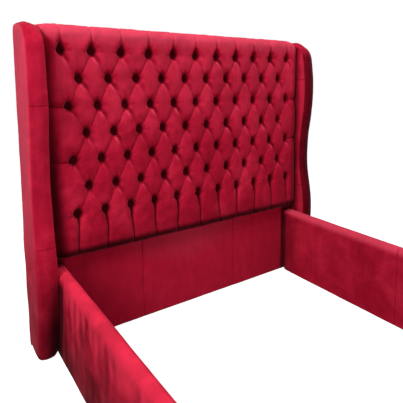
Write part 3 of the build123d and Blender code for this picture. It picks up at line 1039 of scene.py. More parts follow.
    def nearest_button(self, u: Array, v: Array) -> tuple[Array, Array, Array]:
        """Distance and direction from the nearest button, and a number for that button.

        The distance is taken with a power of 1.6, so that the wells come out as soft squares
        that stand on a corner. Each well's middle lies a little above its button, and the
        well reaches further up than down, as the cloth folds over the button's lower edge.

        Args:
            u: Half columns across from the middle.
            v: Rows down from the first.

        Returns:
            The distance in metres, the direction in radians and the button's number.
        """
        whole_s, whole_t = np.round((u + v) / 2.0), np.round((u - v) / 2.0)
        button_u, button_v = whole_s + whole_t, whole_s - whole_t
        offset_x = (u - button_u) * self.half_column
        offset_z = (v - button_v) * self.pitch + self.well_lift
        missing = (np.abs(button_u) > self.last_column) | (button_v < 0) | (button_v > self.last_row)
        tall = np.where(offset_z < 0.0, 1.35, 1.0)
        spread = (np.abs(offset_x) / 0.95) ** self.well_power + (np.abs(offset_z) / tall) ** self.well_power
        distance = np.where(missing, 1.0, spread ** (1.0 / self.well_power))
        return distance, np.arctan2(offset_z, offset_x), button_u * 13.0 + button_v * 7.0

    def hand_pull(self, u: Array, v: Array) -> tuple[Array, Array]:
        """How far the net was pulled off its even places when it was buttoned by hand.

        All of it sits a little to the right and low. The left end leans: its first row is
        pulled left and its lower rows right. The last row is pulled further to the right,
        and the flutes below it waver. The pull dies away past the outer buttons, so the
        pad's edges stay where they are.

        Args:
            u: Half columns across from the middle.
            v: Rows down from the first.

        Returns:
            The pull along X and along Z at each place.
        """
        lean = ease(u, -2.0, -10.0) * (self.lean_back * ease(v, 0.0, 3.0) - self.lean_left)
        waver = self.flute_waver * ease(v, 6.05, 6.7) * np.sin(2.3 * u + 2.1 * v)
        across = self.pull_right + lean - 5.0 * MM * ease(u, 2.0, 8.0)
        across = across + self.last_row_pull * ease(v, 5.0, 6.0) + waver
        down = self.pull_down + 5.0 * MM * ease(v, 1.0, 0.0) * ease(np.abs(u), 10.0, 5.0)
        held = ease(np.abs(u), 11.3, 10.0)
        return across * held, -down * held * ease(v, -0.5, -0.1) * ease(v, 7.3, 6.4)

    def surface(self) -> tuple[Array, Array, Array, Array, Array]:
        """Front skin of the pad.

        Returns:
            The points as rows by columns by 3, the back point of each row, the u and v
            grids, and the painted light and shade, with painted shade in the wells.
        """
        profile = self.profile()
        u_line, x_line, back_line = self.columns()
        v_line, places = self.rows(profile)
        base, outward = profile.at(places)
        u, v = np.meshgrid(u_line, v_line)
        distance, direction, number = self.nearest_button(u, v)
        open_well = ease(distance, self.well_inner, self.well_outer)
        gathers = 0.035 * np.cos(9.0 * direction + number * 2.4)
        gathers += 0.02 * np.cos(17.0 * direction + number * 1.3)
        height = self.height(u, v) * open_well + bell(distance - self.gather_ring, self.gather_width) * gathers
        flat = np.stack([u * self.half_column, np.zeros_like(u), v * self.pitch], axis=-1)
        sunk = self.depth * (1.0 - height) * (1.0 + 0.06 * drift(flat, 0.16, self.seed) * open_well)
        sunk += 0.9 * MM * (1.0 + drift(flat, 0.055, self.seed + 1)) * open_well
        inner = self.back_profile(profile, places)
        room = np.hypot(*(base - inner).T)[:, None]
        level = base[:, 1:]
        over_top = ease(level, self.top - 60.0 * MM, self.top - 10.0 * MM)
        side_set = np.minimum(self.side_round, 0.45 * room) * back_line
        side_set = side_set * (1.0 - 0.7 * over_top * (x_line < 0.0))
        sunk = np.minimum(sunk, 0.55 * room)
        points = np.empty((*u.shape, 3))
        points[..., 0] = x_line
        points[..., 1:] = base[:, None] - (sunk + side_set)[..., None] * outward[:, None]
        at_corner = ease(x_line, self.half_width - 80.0 * MM, self.half_width - 15.0 * MM)
        points[..., 2] -= self.corner_drop * over_top * at_corner
        pull_x, pull_z = self.hand_pull(u, v)
        points[..., 0] += pull_x
        points[..., 2] += pull_z
        strength = drift(flat, 0.24, self.seed + 2)
        # Painted light and shade: the pad's own, times the painted shade of its folds.
        nap = self.lie(points, level, sunk) * self.folds(u, v, distance, direction, strength)
        return points, inner, u, v, nap

    def lie(self, points: Array, level: Array, sunk: Array) -> Array:
        """Painted light and shade: a painted highlight on the roll, painted shade in the wells, at the foot and
        at the sides.

        Args:
            points: Points of the skin.
            level: Height of the crowns' profile at each row.
            sunk: How far each point lies behind the crowns.

        Returns:
            The painted light and shade at each point.
        """
        # Painted shade in the wells, growing with how deep a point lies.
        nap = 1.05 * EVEN_PAINTED_LIGHT * (1.0 - self.well_shade * ease(sunk, 0.32 * self.depth, 0.97 * self.depth))
        # Painted light: a little brighter towards the top, and a painted highlight over the roll.
        nap *= 1.0 + 0.06 * ease(level, self.bottom + 0.3, self.top - 0.1)
        nap *= 1.0 + self.roll_light * ease(level, self.top - 95.0 * MM, self.top - 4.0 * MM)
        # Painted shadow along the foot, under the pad's overhang.
        nap *= 1.0 - 0.25 * ease(level, self.bottom + 140.0 * MM, self.bottom + 40.0 * MM)
        nap *= 1.0 - self.foot_shade * ease(level, self.bottom + 62.0 * MM, self.bottom + 28.0 * MM)
        # Painted shade down the sides beside the wings, below the roll.
        to_side = self.half_width - np.abs(points[..., 0])
        below_roll = ease(level, self.top - 40.0 * MM, self.top - 150.0 * MM)
        upper = ease(level, self.bottom + 0.25, self.top - 0.25)
        shade = np.where(points[..., 0] > 0.0, self.right_shade, self.left_shade - 0.20 * upper)
        return nap * (1.0 - shade * below_roll * ease(to_side * (1.0 + 0.40 * upper), 78.0 * MM, 26.0 * MM))

    def folds(self, u: Array, v: Array, distance: Array, direction: Array, strength: Array) -> Array:
        """Painted shade of the cloth's folds: round the wells, along one pleat in two, in the slits.

        A pleat that falls to the right from its button is a lapped fold, with a painted shadow
        under it and a painted highlight on its lip above. Each is a bell across the pleat, over
        its middle reach.

        Args:
            u: Half columns across from the middle.
            v: Rows down from the first.
            distance: Distance from the nearest button.
            direction: Direction from it, in radians.
            strength: Unevenness of the laps, near -1 to 1.

        Returns:
            Factor for the painted light and shade at each place.
        """
        across, below = distance * np.cos(direction), distance * np.sin(direction)
        under = np.maximum(v - self.last_row, 0.0) * self.pitch
        beside = np.abs(u - 2.0 * np.round(u / 2.0)) * self.half_column
        # Painted shade in the slits between the flutes.
        slit = bell(beside, (3.0 + 9.0 * np.exp(-under / (32.0 * MM))) * MM)
        slit = slit * ease(under, 0.0, 10.0 * MM) * np.exp(-under / (130.0 * MM))
        # Painted shadow round each well, stronger above the button.
        painted_well_shadow = bell(distance, 31.0 * MM) * np.where(below < 0.0, 0.16, 0.05)
        step = math.hypot(self.half_column, self.pitch)
        along = (across * self.half_column + below * self.pitch) / step
        beyond = (across * self.pitch - below * self.half_column) / step
        reach = ease(along, 4.0 * MM, 22.0 * MM) * ease(along, 78.0 * MM, 38.0 * MM) * (v < self.last_row - 0.5)
        reach = reach * np.clip(0.9 + 0.5 * strength, 0.15, 1.6)
        # Painted shadow under each lapped fold and painted highlight on its lip.
        shadow, lip = (bell(beyond - place, self.fold_width) * reach for place in (5.0 * MM, -11.0 * MM))
        lapped = 1.0 + self.lap_light * lip - self.lap_shadow * shadow
        return (1.0 - self.slit_shade * slit) * (1.0 - painted_well_shadow) * lapped

    def back_profile(self, profile: Track, places: Array) -> Array:
        """Points where the pad lies on its board and on the frame, one for each row.

        Args:
            profile: Side profile of the crowns.
            places: Distance of each row along it.

        Returns:
            Y and Z of each point.
        """
        corners = [(self.back, self.seat), (self.board, self.seat), (self.board, self.bottom)]
        inner = rounded_track(corners, [0.0, 0.5 * MM, 0.0], False)
        to_shoulder = np.abs(profile.points - (self.board, self.top)).sum(axis=1)
        known = [0.0, profile.lengths[int(np.argmin(to_shoulder))], profile.length]
        return inner.at(np.interp(places, known, [0.0, self.back - self.board, inner.length]))[0]

    def triangles(self, u: Array, v: Array) -> Array:
        """Front faces, each quad cut along the pleat that runs nearest to it.

        Args:
            u: Half columns at the grid's points.
            v: Rows at the grid's points.

        Returns:
            Three point numbers a triangle.
        """
        quads = grid_quads(*u.shape)
        middle_u, middle_v = (grid.ravel()[quads].mean(axis=1) for grid in (u, v))
        lines = ((middle_u + middle_v) / 2.0, (middle_u - middle_v) / 2.0)
        to_s, to_t = (np.abs(line - np.round(line)) for line in lines)
        falling = (to_s < to_t)[:, None]
        upper = np.where(falling, quads[:, [0, 1, 3]], quads[:, [0, 1, 2]])
        lower = np.where(falling, quads[:, [1, 2, 3]], quads[:, [0, 2, 3]])
        return np.vstack([upper, lower])

    def build(self, velvet: Material) -> Piece:
        """Make the pad: its front skin, its sides and the face that lies on the board.

        Args:
            velvet: Material of the cover.

        Returns:
            The piece.
        """
        front, inner, u, v, nap = self.surface()
        rows, columns = u.shape
        steps = self.wall_steps
        share = np.linspace(0.0, 1.0, steps + 1)[1:, None]
        points, naps, faces = [front.reshape(-1, 3)], [nap.ravel()], [self.triangles(u, v)]
        walls: list[Array] = []
        for part, column in enumerate((0, columns - 1)):
            edge = front[:, column]
            target = np.column_stack([edge[:, 0], inner])
            points.append((edge[:, None] + share * (target - edge)[:, None]).reshape(-1, 3))
            # Painted shade: the side walls take six tenths of the edge's value.
            naps.append(np.repeat(nap[:, column] * 0.6, steps))
            numbers = np.arange(rows * steps).reshape(rows, steps) + rows * (columns + part * steps)
            strip = np.column_stack([np.arange(rows) * columns + column, numbers])
            quads = [strip[:-1, :-1], strip[:-1, 1:], strip[1:, 1:], strip[1:, :-1]]
            faces.append(np.stack(quads, -1).reshape(-1, 4))
            walls.append(numbers)
        left, right = (wall[:, -1] for wall in walls)
        faces.append(np.stack([left[:-1], right[:-1], right[1:], left[1:]], -1))
        for row in (0, rows - 1):
            line = np.arange(columns) + row * columns
            faces.append(np.concatenate([walls[0][row][::-1], line, walls[1][row]])[None, :])
        cover, lie = np.vstack(points), np.concatenate(naps)
        return padded_piece("buttoned_pad_cover", "buttoned_pad", cover, faces, lie, velvet)


@dataclass
class CoveredButtons:
    """Domed buttons covered in the velvet, each seated at the bottom of its well."""

    pad: ButtonedPad
    radius: float = 10.5 * MM
    height: float = 7.0 * MM
    around: int = 14
    rings: int = 5

    def centres(self) -> Array:
        """Middles of the buttons' seats, at the even places of the pulled net.

        Returns:
            X, Y and Z of every button, row by row.
        """
        columns = np.arange(-self.pad.last_column, self.pad.last_column + 1)
        u, v = np.meshgrid(columns, np.arange(self.pad.last_row + 1))
        u, v = (grid[(u + v) % 2 == 0] for grid in (u, v))
        pull_x, pull_z = self.pad.hand_pull(u, v)
        x, z = u * self.pad.half_column + pull_x, self.pad.top_row - v * self.pad.pitch + pull_z
        return np.column_stack([x, np.full(len(x), self.pad.well), z])

    def dome(self) -> tuple[Array, list[Array]]:
        """One button about the origin, its face to -Y.

        At a ring's share t of the way out the face stands at the height times the root of
        1 less t to the power 2.6, and small gathers ripple the rim.

        Returns:
            Its points and its faces.
        """
        share = np.linspace(0.0, 1.0, self.rings + 1)[1:, None]
        angle = np.arange(self.around) * 2.0 * math.pi / self.around
        reach = self.radius * share * (1.0 + 0.025 * np.cos(angle * 7.0) * share ** 3)
        lift = self.height * (1.0 - share ** 2.6) ** 0.5
        shell = np.stack([reach * np.cos(angle), -lift + 0.0 * reach, reach * np.sin(angle)], axis=-1)
        points = np.vstack([shell.reshape(-1, 3), [[0.0, -self.height, 0.0], [0.0, 0.0, 0.0]]])
        ring = np.arange(self.around)
        following = (ring + 1) % self.around
        pole = self.rings * self.around
        last = pole - self.around
        cap = np.stack([np.full(self.around, pole), ring, following], -1)
        foot = np.stack([np.full(self.around, pole + 1), last + following, last + ring], -1)
        return points, [grid_quads(self.rings, self.around, column_loop=True), cap, foot]

    def build(self, velvet: Material) -> Piece:
        """Make all the buttons as one piece.

        Args:
            velvet: Material of the covers.

        Returns:
            The piece.
        """
        points, faces = self.dome()
        centres = self.centres()
        every = (points[None] + centres[:, None]).reshape(-1, 3)
        shift = (np.arange(len(centres)) * len(points))[:, None, None]
        groups = [(group[None] + shift).reshape(-1, group.shape[1]) for group in faces]
        # Painted shade: the buttons' nap value is held at half.
        nap = np.full(len(every), 0.5)
        return padded_piece(
            "covered_buttons", "tuft_buttons", every, groups, nap, velvet
        )


@dataclass
class Seam:
    """A sewn line across a padded slab, at one place along an axis of its outline."""

    axis: int
    place: float
    zone: Zone = Zone.ALL
    depth: float = 1.6 * MM
    width: float = 2.2 * MM
    pucker: float = 0.6 * MM
    # Strength of the painted shade in the groove.
    shade: float = 0.42


@dataclass
class PaddedSlab:
    """Padded slab: an outline in a plane, a thickness across it, and rounded edges.

    Each point of the outline carries a section: from a spine inside the near face out to
    the near edge, round it, over the band, round the far edge and back to the spine of the
    far face. The spine is the outline held inside a box. A point set in by d from an edge
    of radius r lies at r less the root of r squared less (r - d) squared.
    """

    outline: Track
    places: Array
    spine_low: Pair
    spine_high: Pair
    near: float
    far: float
    near_round: Array
    far_round: Array
    near_crown: float = 0.0
    far_crown: float = 0.0
    band_crown: float = 0.0
    band_steps: int = 9
    round_steps: int = 7
    face_steps: int = 16
    seams: list[Seam] = field(default_factory=list)
    swell: float = 0.9 * MM
    fine_swell: float = 0.25 * MM
    # Painted shade at the band's two edges, 1 for none.
    band_nap: Pair = (1.0, 1.0)
    seed: int = 1

    def section(self) -> tuple[Array, Array, Array]:
        """Points of the slab in its own frame, with their outward directions.

        Returns:
            Points as outline by section by 3 with the thickness last, their directions,
            and how far each lies over a face, from 0 on the band to 1 on the spine.
        """
        edge, outward = self.outline.at(self.places)
        spine = np.clip(edge, self.spine_low, self.spine_high)
        sign = 1.0 if self.far > self.near else -1.0
        face = np.linspace(0.0, 1.0, self.face_steps + 1)[None, :] ** 1.4
        turn = np.linspace(0.0, QUARTER_TURN, self.round_steps)[None, :]
        quarter, none = np.array([[QUARTER_TURN]]), np.zeros((1, 1))
        near, far = self.near_round[:, None], self.far_round[:, None]
        start, end = self.near + sign * near, self.far - sign * far
        share = np.linspace(0.0, 1.0, self.band_steps + 2)[None, 1:-1]
        bulge = -self.band_crown * np.sin(math.pi * share)
        back = turn[:, ::-1]
        columns = (
            (near, self.near, quarter, face[:, :0:-1], -sign),
            (near * (1.0 - np.cos(back)), start - sign * near * np.sin(back), back, none, -sign),
            (bulge, start + share * (end - start), none, none, sign),
            (far * (1.0 - np.cos(turn)), end + sign * far * np.sin(turn), turn, none, sign),
            (far, self.far, quarter, face[:, 1:], sign),
        )
        parts: list[tuple[Array, Array, Array]] = []
        for inset, depth, tilt, into, side in columns:
            shape = (len(edge), max(np.shape(item)[-1] for item in (inset, tilt, into)))
            level = [np.broadcast_to(item, shape)[..., None] for item in (inset, depth, tilt, into)]
            inset, depth, tilt, into = level
            begun = edge[:, None] - inset * outward[:, None]
            place = np.concatenate([begun + into * (spine[:, None] - begun), depth], axis=-1)
            way = np.concatenate([np.cos(tilt) * outward[:, None], side * np.sin(tilt)], axis=-1)
            parts.append((place, way, into[..., 0]))
        return tuple(np.concatenate(part, axis=1) for part in zip(*parts))

    def skin(self) -> tuple[Array, Array]:
        """Finished skin: the section, raised by its crowns, swell, seams and puckers.

        A seam sinks by its depth times a bell of its width, and its puckers fade over six
        widths.

        Returns:
            Points as outline by section by 3, and the painted light and shade at each.
        """
        points, ways, over = self.section()
        count = points.shape[1]
        near_side = np.arange(count) < self.face_steps
        lift = np.where(near_side, self.near_crown, self.far_crown) * (1.0 - (1.0 - over) ** 3)
        lift = lift + self.swell * drift(points, 0.22, self.seed) * np.where(near_side, 0.3, 1.0)
        lift = lift + self.fine_swell * drift(points, 0.05, self.seed + 5)
        nap = self.laid_nap(count) * np.ones(over.shape)
        for number, seam in enumerate(self.seams):
            gap = points[..., seam.axis] - seam.place
            held = self.zone_share(seam.zone, count)
            groove = bell(gap, seam.width) * held
            gathers = drift(points, 0.016, self.seed + 20 + number)
            pucker = seam.pucker * gathers * np.exp(-np.abs(gap) / (6.0 * seam.width)) * (1.0 - groove)
            lift = lift - seam.depth * groove + pucker * held
            # Painted shade in the seam's groove.
            nap = nap * (1.0 - seam.shade * groove)
        return points + lift[..., None] * ways, nap

    def zone_share(self, zone: Zone, count: int) -> Array:
        """Share of a seam that each point of the section takes, from 0 to 1.

        Args:
            zone: Part of the section that the seam crosses.
            count: Number of points in a section.

        Returns:
            One share for each point of the section.
        """
        column = np.arange(count)
        turn = self.face_steps + 0.5 * self.round_steps
        near = ease(column, turn + 1.5, turn - 1.5)
        far = ease(column, count - turn - 2.5, count - turn + 0.5)
        return {Zone.NEAR: near, Zone.BAND: 1.0 - np.maximum(near, far), Zone.ALL: np.ones(count)}[zone]

    def laid_nap(self, count: int) -> Array:
        """Painted shade across the section, set by the piece's band values.

        It is even over the faces and runs from one value to the other across the band.

        Args:
            count: Number of points in a section.

        Returns:
            One value for each point of the section.
        """
        column = np.arange(count)
        share = np.clip((column - self.face_steps) / (count - 2.0 * self.face_steps - 1.0), 0.0, 1.0)
        laid = self.band_nap[0] + (self.band_nap[1] - self.band_nap[0]) * share
        inside = ease(column, self.face_steps - 1.0, self.face_steps + 2.0)
        inside *= ease(column, count - self.face_steps, count - self.face_steps - 3.0)
        return EVEN_PAINTED_LIGHT * (1.0 - (1.0 - laid) * inside)

    def padded(self, name: str, node: str, points: Array, nap: Array, velvet: Material) -> Piece:
        """Padded piece from the slab's skin once it is turned into the bed's frame.

        Args:
            name: Name of the piece.
            node: CAD node that it hides.
            points: The skin's points, as outline by section by 3.
            nap: Painted light and shade at each.
            velvet: Material of the cover.

        Returns:
            The piece.
        """
        faces = [grid_quads(*points.shape[:2], row_loop=True)]
        return padded_piece(name, node, points, faces, nap, velvet)


@dataclass(frozen=True)
class WingHand:
    """What differs between the left wing and the right one."""

    seam_heights: Pair
    seam_zone: Zone
    outer_round: float
    band_crown: float
    band_nap: Pair
    fullness: float
    seed: int


WING_HANDS = {
    Side.LEFT: WingHand((1.17, 0.55), Zone.BAND, 24.0 * MM, 6.0 * MM, (1.0, 1.0), 0.0, 11),
    # The right wing's band takes painted shade, darkest towards its outer edge.
    Side.RIGHT: WingHand((1.28, 0.60), Zone.NEAR, 15.0 * MM, 11.0 * MM, (0.36, 0.05), 7.0 * MM, 31),
}


@dataclass
class Wing:
    """Serpentine wing beside the headboard, covered all over, with two seams across it.

    Each point of its side outline is a reach forward of the plain panel and a height. The
    heights of the upper swell and the shoulder are counted down from the top.
    """

    side: Side
    inner_x: float
    outer_x: float
    panel: float
    back: float
    top: float
    foot: float
    lower_swell: Pair = (0.142, 0.450)
    waist: Pair = (0.099, 0.795)
    upper_swell: Pair = (0.140, 0.298)
    shoulder: Pair = (0.130, 0.108)
    brow_reach: float = 0.015
    toe_reach: float = 0.065
    toe_lift: float = 19.0 * MM
    top_draw: float = 4.0 * MM
    low_fullness: float = 6.5 * MM
    crown_rise: float = 9.0 * MM
    crown_drop: float = 10.0 * MM
    # Strengths of the painted shade and painted highlight.
    corner_shade: float = 0.6
    low_shade: float = 0.35
    inner_light: float = 0.12
    edge_light: float = 0.30
    toe_shade: float = 0.90
    corner_round: float = 24.0 * MM
    foot_round: float = 8.0 * MM
    inner_round: float = 5.0 * MM
    top_rounds: Pair = (20.0 * MM, 18.0 * MM)
    foot_rounds: Pair = (26.0 * MM, 24.0 * MM)

    @classmethod
    def fitted(cls, side: Side, box: Boxes) -> Wing:
        """Wing that fits the CAD's own on one side of the bed.

        Args:
            side: Side of the bed.
            box: Low and high corner of every CAD node.

        Returns:
            The wing.
        """
        low, high = box[f"{side.word}_wing_cover"]
        inner, outer = sorted((abs(low[0]), abs(high[0])))
        return cls(side, inner, outer, box["plain_panel_pad"][0][1], high[1], high[2], low[2])

    @property
    def hand(self) -> WingHand:
        """What is this wing's own."""
        return WING_HANDS[self.side]

    def forward(self, reach: float, height: float) -> Array:
        """Point of the side outline at a reach forward of the plain panel."""
        full = self.hand.fullness if height < self.top - 0.2 else 0.0
        return np.array([self.panel - reach - full, height])

    def outline(self) -> Track:
        """Side outline, from the toe up the front, over the top and down the back.

        A swell and a waist are joined by two arcs of one radius that meet midway, both
        upright at their ends, and the other stretches are single tangent arcs.

        Returns:
            The closed track, with its normals outward.
        """
        lower, waist = self.forward(*self.lower_swell), self.forward(*self.waist)
        upper_marks = (self.upper_swell, self.shoulder)
        upper, shoulder = (self.forward(reach, self.top - drop) for reach, drop in upper_marks)
        toe, brow = self.forward(self.toe_reach, self.foot), self.forward(self.brow_reach, self.top)
        runs = [arc_towards(lower, -QUARTER_TURN, toe)[::-1]]
        for start, end in ((lower, waist), (waist, upper)):
            middle = (start + end) / 2.0
            runs += [arc_towards(start, QUARTER_TURN, middle), arc_towards(end, -QUARTER_TURN, middle)[::-1]]
        rise = arc_towards(upper, QUARTER_TURN, shoulder)
        runs += [rise, arc_towards(shoulder, end_heading(rise), brow)]
        corners = [tuple(brow), (self.back, self.top), (self.back, self.foot), tuple(toe)]
        runs.append(rounded_track(corners, [0.0, self.corner_round, self.foot_round, 0.0], False).points)
        return Track(without_doubles(np.vstack(runs), 0.05 * MM)[:-1][::-1], True)

    def rounding(self, edge: Array, plain: Array | float, top: float, foot: float) -> Array:
        """Radius of an edge all round the outline, fuller at the wing's top and foot.

        Args:
            edge: Points of the outline.
            plain: Radius away from the ends.
            top: Radius at the top.
            foot: Radius at the foot.

        Returns:
            One radius for each point of the outline.
        """
        at_top = ease(edge[:, 1], self.top - 0.06, self.top)
        at_foot = ease(edge[:, 1], self.foot + 0.07, self.foot)
        return plain + (top - plain) * at_top + (foot - plain) * at_foot

    def settle(self, points: Array, nap: Array) -> None:
        """Give the skin the small uneven forms of its own side, and its painted light and shade.

        The left wing is drawn in at its top, is fuller low down and rises behind its brow.
        The right one's crown drops. Under both toes the foot lifts as a quarter circle.

        Args:
            points: Points of the skin, changed in place.
            nap: Painted light and shade at each, changed in place.
        """
        x, y, z = (points[..., axis] for axis in range(3))
        width = self.outer_x - self.inner_x
        out = (self.side.value * x - self.inner_x) / width
        if self.side is Side.LEFT:
            drawn_in = self.top_draw * ease(z, self.top - 0.40, self.top - 0.06)
            drawn_in = drawn_in - self.low_fullness * ease(z, 1.05, 0.40)
            x -= self.side.value * drawn_in * np.clip(out, 0.0, 1.0)
            at_crown = ease(z, self.top - 0.08, self.top - 0.01)
            z += self.crown_rise * at_crown * ease(y, self.panel - 0.02, self.panel + 0.05)
        turned = np.clip(1.0 - out * width / self.foot_rounds[0], 0.0, 1.0)
        lifted = self.toe_lift * (1.0 - np.sqrt(1.0 - turned ** 2)) * ease(z, self.foot + 0.09, self.foot)
        z[...] = np.maximum(z + lifted, self.foot - 1.0 * MM)
        y[...] = np.minimum(y, self.back + 1.0 * MM)
        inward = ease(out, 0.05, 0.012)
        # Painted shade in the inner corner beside the pad's crown.
        nap *= 1.0 - self.corner_shade * inward * ease(y, self.panel - 0.105, self.panel - 0.07)
        # Painted shade lower down the wing.
        nap *= 1.0 - self.low_shade * ease(z, 0.62, 0.12) * (1.0 - inward)
        if self.side is Side.RIGHT:
            # Painted highlight on the right wing's inner face.
            nap *= 1.0 + self.inner_light * inward
            z -= self.crown_drop * ease(z, self.top - 0.07, self.top - 0.005)
            # Less painted shade towards the crown, away from the inner face.
            nap += (EVEN_PAINTED_LIGHT - nap) * 0.9 * ease(z, self.top - 0.11, self.top - 0.02) * (1.0 - inward)
        else:
            # Painted highlight along the left wing's outer edge, and painted shade low on the band towards the
            # rail.
            nap *= 1.0 + self.edge_light * ease(out, 0.86, 0.99) * ease(z, 0.1, 0.9)
            nap *= 1.0 - self.toe_shade * ease(z, 0.46, 0.14) * ease(out, 0.85, 0.25)

    def build(self, velvet: Material) -> Piece:
        """Make the wing as one closed padded piece.

        Args:
            velvet: Material of the cover.

        Returns:
            The piece.
        """
        outline, hand = self.outline(), self.hand
        places = outline.spaced(7.0 * MM, 1, hand.seam_heights)
        edge, _ = outline.at(places)
        middle = (self.panel + self.back) / 2.0
        outer_round = hand.outer_round - 6.0 * MM * ease(edge[:, 0], self.back - 0.03, self.back)
        slab = PaddedSlab(
            outline,
            places,
            spine_low=(middle, self.foot + 0.05),
            spine_high=(middle, self.top - 0.06),
            near=self.inner_x * self.side.value,
            far=self.outer_x * self.side.value,
            near_round=self.rounding(edge, self.inner_round, self.top_rounds[0], self.foot_rounds[0]),
            far_round=self.rounding(edge, outer_round, self.top_rounds[1], self.foot_rounds[1]),
            near_crown=0.4 * MM,
            far_crown=6.0 * MM,
            band_crown=hand.band_crown,
            band_nap=hand.band_nap,
            seams=[Seam(1, height, hand.seam_zone) for height in hand.seam_heights],
            seed=hand.seed,
        )
        local, nap = slab.skin()
        points = local[..., [2, 0, 1]]
        self.settle(points, nap)
        word = self.side.word
        return slab.padded(f"{word}_wing_padding", f"{word}_wing_cover", points, nap, velvet)


@dataclass
class PaddedRail:
    """Padded rail round the mattress: rounded along its top, softly drawn in at its ends."""

    word: str
    length_axis: int
    low: Array
    high: Array
    inner_is_high: bool
    seam_places: tuple[float, ...] = ()
    corner_rounds: tuple[float, float, float, float] = (46.0 * MM, 30.0 * MM, 16.0 * MM, 12.0 * MM)
    top_rounds: Pair = (26.0 * MM, 20.0 * MM)
    foot_round: float = 12.0 * MM
    head_round: float = 24.0 * MM
    spine_reach: float = 44.0 * MM
    # Strengths of the painted shade and painted highlight.
    floor_shade: float = 0.30
    wing_gap: float = 0.146
    wing_waist: float = 0.45
    wing_bend: float = 0.464
    top_light: float = 0.31
    patch_shade: float = 0.16
    strip_shade: float = 0.96
    head_shade: float = 0.45
    corner_shade: float = 0.50
    seed: int = 40

    @classmethod
    def fitted(cls, side: Side, box: Boxes) -> PaddedRail:
        """Rail that fits the CAD's own on one side of the bed.

        Args:
            side: Side of the bed; the right rail has a seam.
            box: Low and high corner of every CAD node.

        Returns:
            The rail.
        """
        seams = (box["plain_panel_pad"][0][1] - RAIL_SEAM_REACH,) if side is Side.RIGHT else ()
        rail_box = box[f"{side.word}_rail_cover"]
        return cls(side.word, 1, *rail_box, side is Side.LEFT, seams, **RAIL_HANDS[side])

    def shade(self, local: Array, out: Array) -> Array:
        """Painted light and shade of the rail: a painted highlight on the top, crushed patches outside, painted
        shade towards the floor and at the head end.

        The painted shadow strip beside the wing follows the wing's front, which stands a gap
        before the rail's end at its waist and bends back by the square of the height from there.

        Args:
            local: Points along the rail, up it and across it.
            out: How far each lies towards the outer face, from 0 to 1.

        Returns:
            Factor for the painted light and shade at each point.
        """
        place, up = local[..., 0], local[..., 1]
        end, foot, top = self.high[self.length_axis], self.low[2], self.high[2]
        wall = ease(up, top - 0.012, top - 0.050)
        # Painted highlight along the top.
        lit = ease(up, top - 0.055 - 0.12 * ease(out, 0.5, 0.95), top - 0.012)
        patches = self.patch_shade * drift(local * (1.0, 0.4, 1.0), 0.09, self.seed + 9)
        # Painted shade towards the floor on the outer face, with random crushed patches.
        darker = self.floor_shade * ease(up, top - 0.08, foot + 0.02) + patches
        factor = (1.0 + self.top_light * lit) * (1.0 - wall * ease(out, 0.6, 0.95) * darker)
        if self.length_axis == 1:
            wing_front = end - self.wing_gap + self.wing_bend * (self.wing_waist - up) ** 2
            # Painted shadow beside the wing's front.
            strip = ease(place, wing_front - 0.072, wing_front - 0.048)
            # Painted shade on the inner face near the head end.
            inside = self.head_shade * ease(place, end - 0.20, end - 0.03)
            inside = inside + self.corner_shade * ease(place, end - 0.05, end - 0.02)
            factor *= 1.0 - self.strip_shade * wall * ease(out, 0.4, 0.9) * strip
            factor *= 1.0 - wall * ease(out, 0.6, 0.1) * inside
        return factor

    def build(self, velvet: Material) -> Piece:
        """Make the rail as one closed padded piece.

        Args:
            velvet: Material of the cover.

        Returns:
            The piece.
        """
        along, across = self.length_axis, 1 - self.length_axis
        start, end, foot, top = self.low[along], self.high[along], self.low[2], self.high[2]
        outline = framed_track((start, foot), (end, top), self.corner_rounds)
        places = outline.spaced(9.0 * MM, 0, self.seam_places)
        edge, _ = outline.at(places)
        up = ease(edge[:, 1], foot + 0.02, top - 0.03)
        at_head = ease(edge[:, 0], end - 0.03, end - 0.002) * float(along == 1)
        near_round, far_round = (
            (self.foot_round + (top_round - self.foot_round) * up) * (1.0 - at_head) + self.head_round * at_head
            for top_round in self.top_rounds
        )
        inner, outer = (self.high, self.low) if self.inner_is_high else (self.low, self.high)
        middle = (foot + top) / 2.0
        slab = PaddedSlab(
            outline,
            places,
            spine_low=(start + self.spine_reach, middle),
            spine_high=(end - self.spine_reach, middle),
            near=inner[across],
            far=outer[across],
            near_round=near_round,
            far_round=far_round,
            band_crown=0.8 * MM,
            seams=[Seam(0, place, Zone.NEAR) for place in self.seam_places],
            swell=0.5 * MM,
            fine_swell=0.12 * MM,
            seed=self.seed,
        )
        local, nap = slab.skin()
        # Painted light and shade of the rail.
        nap *= self.shade(local, (local[..., 2] - inner[across]) / (outer[across] - inner[across]))
        points = local[..., [2, 0, 1] if along == 1 else [0, 2, 1]]
        return slab.padded(f"{self.word}_rail_padding", f"{self.word}_rail_cover", points, nap, velvet)


RAIL_HANDS = {
    Side.LEFT: {"top_rounds": (13.0 * MM, 36.0 * MM), "floor_shade": 0.74, "seed": 37},
    Side.RIGHT: {"top_rounds": (28.0 * MM, 18.0 * MM), "seed": 43},
}


